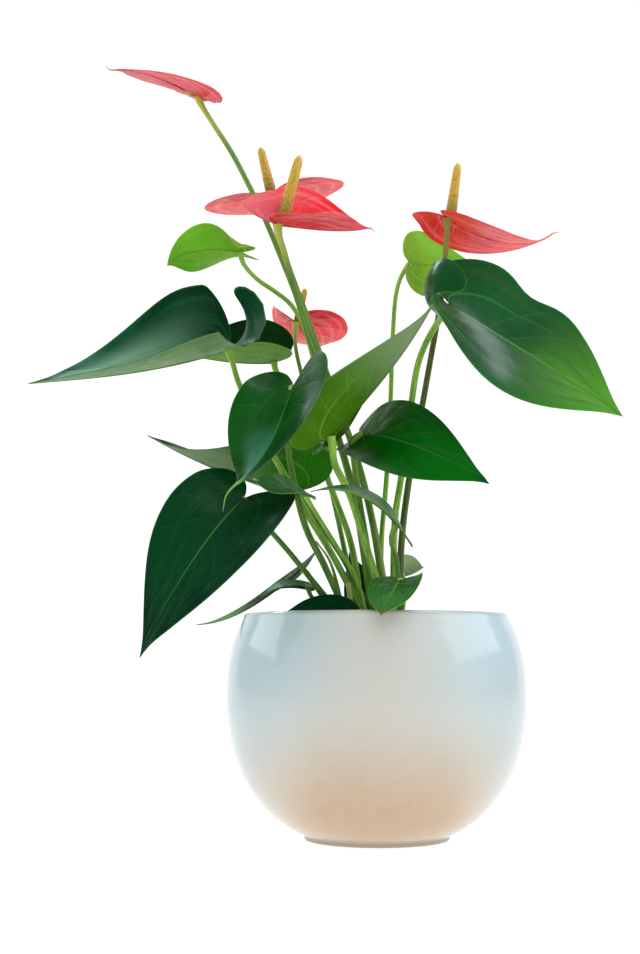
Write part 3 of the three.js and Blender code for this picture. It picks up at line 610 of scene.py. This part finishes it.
leafLooks = dict(
    dark=leafBase,
    # Leaf 3: the pale grey-green stripe beside the midrib, stronger towards the tip, is a painted sheen.
    teal=dict(leafBase, deep=(0, 50, 24), light=(22, 88, 56), streak=(40, 112, 76), tintAndSheen=(122, 166, 134),
        tintAndSheenAt=-0.1, tintAndSheenWidth=0.8, tintAndSheenReach=(0.3, 0.7), tintAndSheenStrength=0.95, tintAndSheenCoat=0.2),
    twoTone=dict(leafBase, deep=(8, 46, 12), light=(20, 62, 18), tintAndSheen=(70, 124, 30), tintAndSheenAt=0.85, tintAndSheenWidth=0.8,
        tintAndSheenReach=(0.05, 0.15), tintAndSheenStrength=0.95),
    # Leaf 5: the bluish green stripe on its right half towards the tip is a painted reflection.
    glossy=dict(leafBase, deep=(0, 48, 8), light=(0, 82, 6), end=(120, 168, 80), streak=(8, 100, 24),
        endAt=(0.9, 0.96), tintAndSheen=(84, 146, 124), tintAndSheenAt=-0.3, tintAndSheenWidth=0.55, tintAndSheenReach=(0.5, 0.85),
        tintAndSheenStrength=0.6, tintAndSheenCoat=0.5, arch=0.2, coat=0.15),
    vivid=dict(leafBase, deep=(0, 58, 12), light=(0, 96, 8), streak=(10, 108, 20)),
    brightEnd=dict(leafBase, deep=(10, 62, 30), light=(30, 92, 46), end=(92, 160, 44), streak=(66, 84, 44),
        endAt=(0.55, 0.95), tintAndSheenAt=-0.4, tintAndSheenCoat=0.5, rib=0.9, arch=0.7, side=0.14, streaks=0.45, coat=0.08),
    green=dict(leafBase, deep=(36, 88, 42), light=(68, 118, 70), vein=(130, 170, 84), streak=(84, 136, 84),
        tintAndSheenCoat=0.1, side=0.14, coat=0.1),
    dryTip=dict(leafBase, deep=(24, 82, 26), light=(50, 112, 44), vein=(140, 176, 90), end=(130, 88, 44),
        streak=(110, 156, 70), endAt=(0.86, 0.93), rib=0.8),
    paleEnd=dict(leafBase, deep=(40, 90, 48), light=(60, 112, 60), vein=(150, 186, 96), end=(216, 204, 150),
        streak=(90, 140, 76), endAt=(0.9, 0.96)),
    young=dict(leafBase, deep=(96, 142, 30), light=(128, 174, 48), vein=(180, 208, 104), end=(140, 180, 50),
        streak=(146, 188, 66), tintAndSheenCoat=0.08, rib=0.8, arch=0.6, side=0.45, coat=0.08, glow=0.3),
)
backLooks = dict(
    greyGreen=backBase,
    darkBack=dict(leafBase, deep=(0, 52, 14), light=(0, 76, 22), tintAndSheenCoat=0.25, coat=0.25),
    midBack=dict(backBase, deep=(44, 92, 46), light=(70, 120, 66), vein=(130, 170, 100), streak=(86, 134, 80)),
    grassyBack=dict(backBase, deep=(52, 98, 6), light=(78, 126, 16), vein=(134, 172, 70), end=(118, 136, 100),
        streak=(84, 130, 40), endAt=(0.5, 0.85)),
    oliveBack=dict(backBase, deep=(24, 100, 6), light=(46, 128, 12), vein=(116, 156, 70), end=(96, 118, 80),
        streak=(66, 122, 34), endAt=(0.45, 0.65)),
    paleBack=dict(backBase, deep=(124, 148, 98), light=(148, 168, 120)),
    lightGreen=dict(backBase, deep=(84, 132, 44), light=(110, 154, 60), vein=(158, 190, 98),
        streak=(130, 168, 80)),
    youngBack=dict(backBase, deep=(110, 150, 34), light=(136, 176, 54), vein=(180, 206, 110),
        streak=(150, 190, 76), glow=0.3),
)
spatheBase = dict(
    leafBase, deep=(218, 0, 24), light=(250, 26, 42), vein=(246, 150, 154), end=(206, 150, 90),
    streak=(246, 150, 156), endAt=(0.965, 1.0), tintAndSheen=(238, 124, 134), tintAndSheenCoat=0.12, veinCount=7.0,
    veinSlant=0.3, veinWidth=0.07, cells=110.0, patchSize=34.0, rib=0.35, arch=0.35, side=0.25, net=0.08,
    rough=0.26, swell=0.8, sunk=0.4, shine=0.1, reliefDepth=0.001, coat=0.12, glow=0.12,
    glowRadius=(1.0, 0.25, 0.2),
)
spatheBack = dict(
    spatheBase, deep=(210, 14, 30), light=(238, 40, 50), vein=(244, 160, 152), streak=(246, 160, 156),
    streaks=0.35, rough=0.4, swell=-0.5, sunk=-0.3, coat=0.1,
)
spatheLooks = dict(
    red=spatheBase,
    redBack=spatheBack,
    pinkWall=dict(spatheBase, tintAndSheenAt=0.85, tintAndSheenWidth=1.0, tintAndSheenReach=(0.7, 0.2), tintAndSheenStrength=0.6, streaks=0.5),
    paleEdge=dict(spatheBack, deep=(180, 8, 40), light=(208, 34, 60), tintAndSheenWidth=3.0, tintAndSheenReach=(0.36, 0.12),
        tintAndSheenStrength=0.6),
)

# Looks of the stalks. topAt is where the tint of the top comes in, along a stalk that runs from 0 to 6
stalkBase = dict(
    rough=0.36, roughSpread=(-0.06, 0.08), streakScale=2.4, streaks=(0.35, 0.65), spotScale=420.0, spots=(0.62, 0.7),
    spotStrength=0.25, reliefDepth=0.0003, reliefStrength=0.7,
)
stalkLooks = dict(
    leafStalk=dict(stalkBase, deep=(104, 158, 40), light=(164, 208, 80), top=(164, 206, 84), topAt=(5.0, 6.0)),
    deepStalk=dict(stalkBase, deep=(58, 104, 28), light=(106, 154, 50), top=(140, 182, 70), topAt=(4.0, 6.0),
        rough=0.34),
    flowerStalk=dict(stalkBase, deep=(84, 126, 42), light=(126, 164, 64), top=(186, 196, 92), topAt=(5.2, 6.0)),
    darkStalk=dict(stalkBase, deep=(70, 84, 36), light=(104, 118, 52), top=(146, 142, 66), topAt=(4.4, 5.8),
        rough=0.34),
    shoot=dict(stalkBase, deep=(122, 158, 62), light=(164, 188, 96), top=(170, 180, 110), topAt=(4.0, 6.0),
        rough=0.42),
)


def stalkFinish(name, look):
    # A stalk: streaks along it, a tint towards its top and a soft gloss
    material, n = newFinish(name)
    grain = n.layer("grain")
    streaks = n.fade(n.speckle(grain, look["streakScale"]), *look["streaks"])
    top = n.fade(n.split(grain)[2], *look["topAt"])
    spots = n.fade(n.speckle(n.place(), look["spotScale"], 2), *look["spots"])
    rough = [look["rough"] + more for more in look["roughSpread"]]
    n.shade({
        "Base Color": n.layers(
            look, "deep", (streaks, "light"), (top, "top"), (n.times(spots, look["spotStrength"]), "light")
        ),
        "Roughness": n.fade(streaks, 0, 1, *rough),
        "Normal": n.relief(streaks, look["reliefDepth"], look["reliefStrength"]),
        "Specular IOR Level": 0.2,
        "Coat Weight": 0.08,
        "Subsurface Weight": 0.12,
        "Subsurface Radius": (0.5, 1.0, 0.2),
        "Subsurface Scale": 0.002,
    })
    return material


# gap is the painted shade between the bumps
spadixLook = dict(
    low=(122, 134, 24), middle=(232, 190, 54), top=(248, 210, 86), pollen=(250, 224, 136), gap=(158, 126, 30),
    middleAt=(0.4, 3.0), topAt=(3.8, 6.0), patchSize=120.0, pollenStrength=0.3, dotScale=760.0, dots=(0.5, 0.1),
    gapShadeStrength=0.4, rough=(0.62, 0.46), reliefDepth=0.0008,
)


def spadixFinish(look):
    # Tiny flowers in rows: a warm yellow, greener at the base, with painted shade darker between the bumps
    material, n = newFinish("spadix")
    place, upward = n.place(), n.split(n.layer("grain"))[2]
    pollen = n.times(n.patches(place, look["patchSize"])["Fine"], look["pollenStrength"])
    cells = n.add("TexVoronoi", {"Vector": place, "Scale": look["dotScale"]})["Distance"]
    dots = n.fade(cells, *look["dots"])
    n.shade({
        "Base Color": n.layers(
            look, "low", (n.fade(upward, *look["middleAt"]), "middle"), (n.fade(upward, *look["topAt"]), "top"),
            (pollen, "pollen"), (n.times(n.less(1.0, dots), look["gapShadeStrength"]), "gap"),
        ),
        "Roughness": n.fade(dots, 0, 1, *look["rough"]),
        "Normal": n.relief(dots, look["reliefDepth"]),
        "Subsurface Weight": 0.15,
        "Subsurface Radius": (1.0, 0.6, 0.2),
        "Subsurface Scale": 0.002,
    })
    return material


# Heights and distances from the pot's middle plane, aside, are in metres
# The warm and the cool colour are painted reflections and the side colour is painted shade; ground, cloud, rim and bare
# are the pot's own colours.
glazeLook = dict(
    ground=(212, 208, 196), warmReflection=(198, 168, 134), coolReflection=(182, 208, 214), side=(166, 178, 180), cloud=(214, 214, 210),
    rim=(150, 146, 138), bare=(176, 166, 150), patchSize=12.0, waver=0.006,
    warmReflectionHeight=(0.105, 0.02), warmReflectionAside=(0.1, 0.03), coolReflectionHeight=(0.04, 0.13), coolReflectionAside=(0.0, 0.085),
    edgeShadeAside=(0.05, 0.1), edgeShadeStrength=0.6, cloudStrength=0.08, rimHeight=(0.1435, 0.1458), rimStrength=0.35,
    bareHeight=(0.0036, 0.0024), bareRough=0.7, rough=(0.16, 0.22),
    rippleScale=16.0, rippleDepth=0.0012, rippleStrength=0.35,
)


def glazeFinish(look):
    # White glaze with faint waves and a thin rim edge. Its colour holds painted reflections, a warm one low down in the
    # middle and a cool bluish one high on the wall towards the sides, and painted shade, darker bluish grey at the left
    # and right sides.
    material, n = newFinish("glaze")
    place = n.place()
    x, _, z = n.split(place)
    patches = n.patches(place, look["patchSize"])
    height = n.math("ADD", z, n.times(patches["Broad"], look["waver"]))
    aside = n.size(x)
    # Painted reflections, warm low down in the middle and cool high up towards the sides, and painted shade at the left
    # and right sides
    warmReflection = n.times(n.fade(height, *look["warmReflectionHeight"]), n.fade(aside, *look["warmReflectionAside"]))
    coolReflection = n.times(n.fade(height, *look["coolReflectionHeight"]), n.fade(aside, *look["coolReflectionAside"]))
    bare = n.fade(z, *look["bareHeight"])
    side = n.times(n.fade(aside, *look["edgeShadeAside"]), look["edgeShadeStrength"])
    cloud = n.times(patches["Fine"], look["cloudStrength"])
    rim = n.times(n.fade(z, *look["rimHeight"]), look["rimStrength"])
    ripples = n.speckle(place, look["rippleScale"], 1)
    n.shade({
        "Base Color": n.layers(
            look, "ground", (warmReflection, "warmReflection"), (coolReflection, "coolReflection"), (side, "side"), (cloud, "cloud"), (rim, "rim"),
            (bare, "bare"),
        ),
        "Roughness": n.most(n.fade(patches["Fine"], 0, 1, *look["rough"]), n.times(bare, look["bareRough"])),
        "Normal": n.relief(ripples, look["rippleDepth"], look["rippleStrength"]),
        "Specular IOR Level": 0.35,
        "Coat Weight": 0.5,
        "Coat Roughness": 0.06,
    })
    return material


mixBase = dict(deepStrength=0.5, rough=(0.82, 0.97), reliefDepth=0.0012)
mixLooks = dict(
    peat=dict(mixBase, deep=(34, 24, 18), light=(74, 54, 38), patchSize=160.0),
    bark=dict(mixBase, deep=(70, 46, 30), light=(122, 86, 56), patchSize=90.0),
)


def mixFinish(name, look):
    # Peat and bark
    material, n = newFinish(name)
    patches = n.patches(n.place(), look["patchSize"])
    n.shade({
        "Base Color": n.layers(
            look, "deep", (patches["Fine"], "light"), (n.times(patches["Broad"], look["deepStrength"]), "deep")
        ),
        "Roughness": n.fade(patches["Broad"], 0, 1, *look["rough"]),
        "Normal": n.relief(patches["Fine"], look["reliefDepth"]),
    })
    return material


def makeBlade(name, blade, finishes, node, seed):
    shape = bladeShape
    mesh = bmesh.new()
    bmesh.ops.create_grid(mesh, x_segments=shape["rows"], y_segments=shape["columns"], size=1)
    sheet = mesh.verts.layers.float_vector.new("sheet")
    for vertex in mesh.verts:
        s, t = (vertex.co.x + 1) / 2, vertex.co.y
        vertex[sheet] = (s, t, 0)
        vertex.co = blade.surface(s, t) * millimetre
    bmesh.ops.remove_doubles(mesh, verts=mesh.verts, dist=mergeDistance)
    mesh.normal_update()
    scale = min(blade.length / shape["fullLength"], 1)
    for vertex in mesh.verts:
        s, t, _ = vertex[sheet]
        edge = math.copysign(1, t)
        wave = noise.noise(Vector((s * shape["waveCount"], 2 * edge, seed * shape["waveSeed"]))) * abs(t) ** 2
        along, across = shape["rippleCount"]
        ripple = noise.noise(Vector((s * along, t * across, seed * shape["rippleSeed"])))
        frill = blade.form.get("frill", 0) * abs(t) ** shape["frillEdge"] * max(1 - shape["frillReach"] * s, 0)
        frill *= noise.noise(Vector((s * shape["frillCount"], edge, seed)))
        lift = (wave * shape["wave"] + ripple * shape["ripple"]) * scale + frill
        vertex.co += vertex.normal * lift * millimetre
    mesh.normal_update()
    # The normals are kept in a layer, because the extrusion turns those of the lower face over
    outward = mesh.verts.layers.float_vector.new("outward")
    for vertex in mesh.verts:
        vertex[outward] = vertex.normal
    lower, under = mesh.faces[:], mesh.verts[:]
    copied = bmesh.ops.extrude_face_region(mesh, geom=lower, use_keep_orig=True)["geom"]
    half = shape["thickness"] / 2 * millimetre
    for vertex in [v for v in copied if isinstance(v, bmesh.types.BMVert)]:
        vertex.co += vertex[outward] * half
    for vertex in under:
        vertex.co -= vertex[outward] * half
    mesh.verts.layers.float_vector.remove(outward)
    sheet = mesh.verts.layers.float_vector["sheet"]
    for face in lower:
        face.material_index = 1
    bmesh.ops.recalc_face_normals(mesh, faces=mesh.faces)
    addRib(mesh, blade, sheet)
    if "tail" in blade.form:
        addTail(mesh, blade, sheet)
    addPiece(name, mesh, finishes, node)


ribShape = dict(sides=8, steps=26, radius=0.008, widest=0.9, end=0.2, reach=0.93, above=0.1, aside=0.04)


def addRib(mesh, blade, sheet):
    # The midrib stands out under the blade, thinner towards the tip
    shape = ribShape
    reach, steps = shape["reach"], shape["steps"]
    width = min(blade.length * shape["radius"], shape["widest"])

    def radiusAt(t, angle=0):
        return width * (1 - t) + shape["end"] * t

    places = []
    for i in range(steps + 1):
        u = reach * i / steps
        places.append(blade.point(u, 0) - blade.normal(u, 0) * (radiusAt(i / steps) - shape["above"]))
    addBar(mesh, places, shape["sides"], radiusAt, sheet, lambda t, angle: (math.sqrt(t * reach), shape["aside"], 0), 1)


tailShape = dict(sides=8, start=0.985, radius=0.75, end=0.15, spacing=1.2)


def addTail(mesh, blade, sheet):
    # The tip runs on as a thin tail, in the colour of the blade's end
    shape = tailShape
    tip = Vector(blade.form["tip"])
    turns = [tip + Vector(step) for step in blade.form["tail"]]
    places = curvePoints([blade.point(shape["start"], 0), tip] + turns, shape["spacing"])

    def radiusAt(t, angle):
        return shape["radius"] * (1 - t) + shape["end"] * t

    addBar(mesh, places, shape["sides"], radiusAt, sheet, lambda t, angle: (1, 0.5, 0))


stalkShape = dict(sides=14, spacing=4.5, depth=6, jointLength=7, short=0.3, oval=0.05)


def makeStalk(name, stalk, end, finish, swelling, short):
    shape = stalkShape
    points = [Vector((*stalk["foot"], height)) for height in (soilForm["height"] - shape["depth"], soilForm["height"])]
    places = curvePoints(points + [Vector(p) for p in stalk["via"]] + end, shape["spacing"])
    places[-1] += (places[-2] - places[-1]).normalized() * short
    length = sum((b - a).length for a, b in zip(places, places[1:]))
    footRadius, topRadius = stalk["radius"]

    def radiusAt(t, angle):
        joint = swelling * math.exp(-(((1 - t) * length / shape["jointLength"]) ** 2))
        wobble = shape["oval"] * math.cos(2 * angle + 3 * t)
        return footRadius + (topRadius - footRadius) * t + joint + wobble

    addBarPiece(name, places, shape["sides"], radiusAt, finish)


spadixShape = dict(
    sides=30, rows=64, inset=3, short=0.5, taper=0.35, roundEnd=0.12, blunt=0.98, neck=0.12, neckDepth=0.45,
    bump=0.24, bumpSize=3, sharpAngle=75,
)


def makeSpadix(name, blade, tip, radius, finish):
    shape = spadixShape
    base = blade.point(shape["inset"] / blade.length, 0)
    start = base + (tip - base).normalized() * shape["short"]
    rows = shape["rows"]
    places = [start.lerp(tip, i / rows) for i in range(rows + 1)]

    def radiusAt(t, angle):
        towardsEnd = min(max((t - 1 + shape["roundEnd"]) / shape["roundEnd"], 0), shape["blunt"])
        neck = 1 - shape["neckDepth"] * max(0, 1 - t / shape["neck"])
        bumps = shape["bump"] * math.cos(shape["sides"] / shape["bumpSize"] * angle)
        bumps *= math.cos(math.pi * t * rows / shape["bumpSize"])
        return (radius * (1 - shape["taper"] * t) + bumps) * neck * math.sqrt(1 - towardsEnd**2)

    addBarPiece(name, places, shape["sides"], radiusAt, finish, shape["sharpAngle"])


# The pot is nearly a ball, cut off at its rim. foot is the radius of its ring, and the two lists are the ring's
# section: steps outwards, from its inner and its outer edge, and heights.
potForm = dict(
    radius=99, middle=92, reach=97.5, fullness=2.3, rim=147, wall=6, floor=8, foot=47.5, footHeight=3, footRing=6,
    recess=1.4, footInside=((-3, 1.4), (-1, 0.84), (0, 0.2), (0.6, 0)),
    footOutside=((-1, 0), (-0.4, 0.2), (0, 0.8), (0, 2.2)), steps=128, wallSteps=44, wallCrowd=1.25, rimSteps=10,
    sharpAngle=60,
)


def potRadiusAt(height):
    reach = abs(height - potForm["middle"]) / potForm["reach"]
    return potForm["radius"] * (1 - reach ** potForm["fullness"]) ** (1 / potForm["fullness"])


def wallPoints(start, end, inset):
    steps = potForm["wallSteps"]
    heights = [start + (end - start) * (i / steps) ** potForm["wallCrowd"] for i in range(steps + 1)]
    return [(potRadiusAt(height) - inset, height) for height in heights]


def spun(profile, steps):
    mesh = bmesh.new()
    line = [mesh.verts.new((radius * millimetre, 0, height * millimetre)) for radius, height in profile]
    edges = [mesh.edges.new(pair) for pair in zip(line, line[1:])]
    bmesh.ops.spin(
        mesh, geom=line + edges, cent=(0, 0, 0), axis=(0, 0, 1), angle=2 * math.pi, steps=steps, use_merge=True
    )
    bmesh.ops.remove_doubles(mesh, verts=mesh.verts, dist=mergeDistance)
    bmesh.ops.recalc_face_normals(mesh, faces=mesh.faces)
    return mesh


def makePot(finish):
    lip = potForm["wall"] / 2
    lipHeight = potForm["rim"] - lip
    lipRadius = potRadiusAt(lipHeight) - lip
    turns = [math.pi * i / potForm["rimSteps"] for i in range(1, potForm["rimSteps"])]
    foot, ring = potForm["foot"], potForm["footRing"]
    profile = [
        (0, potForm["recess"]),
        *((foot - ring + outward, height) for outward, height in potForm["footInside"]),
        *((foot + outward, height) for outward, height in potForm["footOutside"]),
        *wallPoints(potForm["footHeight"], lipHeight, 0),
        *((lipRadius + lip * math.cos(turn), lipHeight + lip * math.sin(turn)) for turn in turns),
        *wallPoints(potForm["floor"], lipHeight, potForm["wall"])[::-1],
        (0, potForm["floor"]),
    ]
    addPiece("potGlazed", spun(profile, potForm["steps"]), [finish], "pot", potForm["sharpAngle"])


# Potting mix: clods over its top, fading out at the pot's wall, and chips of bark
soilForm = dict(
    height=130, gap=0.5, steps=96, rings=30, skin=0.5, clod=1.6, clodCount=90, finerCount=260, finer=0.6, edge=0.006,
    sharpAngle=40,
)
chipForm = dict(
    count=320, seed=11, spread=86, lift=1.6, turn=6.3, tilt=0.4, size=((4, 11), (3, 6), (1.2, 2.6)), ragged=0.5
)


def makeMix(finish, chipFinish):
    gap, top = soilForm["gap"], soilForm["height"]
    wall = wallPoints(potForm["floor"] + gap, top, potForm["wall"] + gap)
    edge, count = wall[-1][0], soilForm["rings"]
    rings = [(edge * (1 - i / count), top) for i in range(1, count + 1)]
    mesh = spun([(0, wall[0][1]), *wall, *rings], soilForm["steps"])
    for vertex in mesh.verts:
        if vertex.co.z > (top - soilForm["skin"]) * millimetre:
            inner = min(1, (edge * millimetre - vertex.co.xy.length) / soilForm["edge"])
            finer = soilForm["finer"] * noise.noise(vertex.co * soilForm["finerCount"])
            rough = noise.noise(vertex.co * soilForm["clodCount"]) + finer
            vertex.co.z += soilForm["clod"] * millimetre * rough * max(inner, 0)
    dice = random.Random(chipForm["seed"])
    tilt, ragged = chipForm["tilt"], chipForm["ragged"]
    for _ in range(chipForm["count"]):
        angle, away = dice.uniform(0, 2 * math.pi), chipForm["spread"] * math.sqrt(dice.random())
        place = Vector((away * math.cos(angle), away * math.sin(angle), top + dice.uniform(0, chipForm["lift"])))
        turn = Matrix.Rotation(dice.uniform(0, chipForm["turn"]), 4, "Z")
        turn = turn @ Matrix.Rotation(dice.uniform(-tilt, tilt), 4, "X")
        size = [dice.uniform(*span) * millimetre for span in chipForm["size"]]
        shape = Matrix.Translation(place * millimetre) @ turn @ Matrix.Diagonal((*size, 1))
        chip = bmesh.ops.create_cube(mesh, size=1, matrix=shape)["verts"]
        for vertex in chip:
            vertex.co += Vector([dice.uniform(-ragged, ragged) for _ in range(3)]) * millimetre
        for face in {f for v in chip for f in v.link_faces}:
            face.material_index = 1
    addPiece("pottingMix", mesh, [finish, chipFinish], "potting_mix", soilForm["sharpAngle"])


# The plant
sheetFinishes = {name: bladeFinish(name, look) for name, look in (leafLooks | backLooks | spatheLooks).items()}
stalkFinishes = {name: stalkFinish(name, look) for name, look in stalkLooks.items()}
spadixYellow = spadixFinish(spadixLook)

# joint is how much a stalk swells where it meets its blade, and seed is that of the first one's waves
leafKind = dict(
    outline=leafOutline, node="blade", slot="leaf", stalkLook="leafStalk", stalkSlot="leaf_stalk", joint=0.6, seed=0
)
flowerKind = dict(
    outline=spatheOutline, node="spathe", slot="spathe", stalkLook="flowerStalk", stalkSlot="flower_stalk",
    joint=1.2, seed=30,
)


def makeStem(name, kind, form, number):
    # A blade on its stalk
    blade = Blade(kind["outline"], form)
    finishes = [sheetFinishes[look] for look in form["looks"]]
    makeBlade(f"{name}_sheet", blade, finishes, f"{name}_{kind['node']}", kind["seed"] + number)
    finish = stalkFinishes[form.get("stalkLook", kind["stalkLook"])]
    makeStalk(f"{name}_stalk", form, [blade.attach], finish, kind["joint"], stalkShape["short"])
    return blade


for number, form in enumerate(leaves):
    makeStem(f"leaf_{number + 1:02}", leafKind, form, number)
print(f"{len(leaves)} leaves")

for number, form in enumerate(flowers):
    name = f"flower_{number + 1}"
    blade = makeStem(name, flowerKind, form, number)
    makeSpadix(f"{name}_spadix", blade, Vector(form["spadixTip"]), form["spadixRadius"], spadixYellow)
print(f"{len(flowers)} flowers")

for number, form in enumerate(shoots):
    makeStalk(f"shoot_{number + 1}", form, [], stalkFinishes["shoot"], 0, 0)
print(f"{len(shoots)} shoots")

makePot(glazeFinish(glazeLook))
makeMix(*(mixFinish(name, look) for name, look in mixLooks.items()))
print("pot and potting mix")

# Floor, backdrop, light and camera, in metres
stageForm = dict(
    half=4.0, back=3.0, curve=1.2, steps=16, height=4.0, ground=(150, 150, 150), white=(255, 255, 255), glow=0.86,
)
neutral = (1, 1, 1)
lampForms = dict(
    leftWindow=dict(at=(-1.25, 0.25, 0.85), to=(0, 0, 0.2), size=(1.1, 0.8), power=5, colour=neutral),
    rightWindow=dict(at=(1.25, -0.1, 0.8), to=(0, 0, 0.2), size=(1.3, 0.7), power=4.5, colour=neutral),
    overhead=dict(at=(0.25, 0.15, 2.0), to=(0, 0, 0.3), size=(1.0, 0.8), power=11, colour=neutral),
    backWindow=dict(
        at=(-0.71, 0.91, 1.39), to=(-0.08, -0.08, 0.27), size=(0.55, 0.45), power=8, colour=(0.78, 0.93, 1.0)
    ),
    highWindow=dict(at=(0.78, 0.0, 1.6), to=(0.08, -0.03, 0.32), size=(0.5, 0.8), power=5, colour=(0.85, 0.95, 1.0)),
)
worldForm = dict(colour=(236, 244, 252), strength=0.75)
cameraForm = dict(at=(-0.0372, -0.9768, 0.119), upward=7.0, lens=55, sensor=36)


def makeStage():
    mesh = bmesh.new()
    bmesh.ops.create_grid(mesh, x_segments=1, y_segments=1, size=stageForm["half"])
    far = [v for v in mesh.verts if v.co.y > 0]
    for vertex in far:
        vertex.co.y = stageForm["back"]
    edge = [e for e in mesh.edges if all(v in far for v in e.verts)]
    bend = bmesh.ops.spin(
        mesh, geom=edge + far, cent=(0, stageForm["back"], stageForm["curve"]), axis=(1, 0, 0),
        angle=math.pi / 2, steps=stageForm["steps"], use_merge=False,
    )["geom_last"]
    wall = bmesh.ops.extrude_edge_only(mesh, edges=[e for e in bend if isinstance(e, bmesh.types.BMEdge)])["geom"]
    bmesh.ops.translate(
        mesh, verts=[v for v in wall if isinstance(v, bmesh.types.BMVert)], vec=(0, 0, stageForm["height"])
    )
    bmesh.ops.recalc_face_normals(mesh, faces=mesh.faces)
    material, n = newFinish("backdropWhite")
    n.shade({
        "Base Color": linear(stageForm["ground"]),
        "Roughness": 0.9,
        "Specular IOR Level": 0.0,
        "Emission Color": linear(stageForm["white"]),
        "Emission Strength": stageForm["glow"],
    })
    placeMesh("backdrop", mesh, [material])


def makeLamp(name, form):
    light = bpy.data.lights.new(name, "AREA")
    light.shape = "RECTANGLE"
    light.size, light.size_y = form["size"]
    light.energy = form["power"]
    light.color = form["colour"]
    lamp = placeObject(name, light)
    lamp.location = form["at"]
    lamp.rotation_euler = (Vector(form["to"]) - Vector(form["at"])).to_track_quat("-Z", "Y").to_euler()


def makeCamera():
    lens = bpy.data.cameras.new("photoView")
    lens.lens = cameraForm["lens"]
    lens.sensor_width = cameraForm["sensor"]
    camera = placeObject("photoView", lens)
    camera.location = cameraForm["at"]
    camera.rotation_euler = (math.radians(90 + cameraForm["upward"]), 0, 0)
    bpy.context.scene.camera = camera


def makeWorld():
    world = bpy.data.worlds.new("softWorld")
    world.use_nodes = True
    sky = world.node_tree.nodes["Background"]
    sky.inputs["Color"].default_value = linear(worldForm["colour"])
    sky.inputs["Strength"].default_value = worldForm["strength"]
    bpy.context.scene.world = world


makeStage()
for name, form in lampForms.items():
    makeLamp(name, form)
makeCamera()
makeWorld()
bpy.context.scene.view_settings.view_transform = "Standard"
print("stage, light and camera")
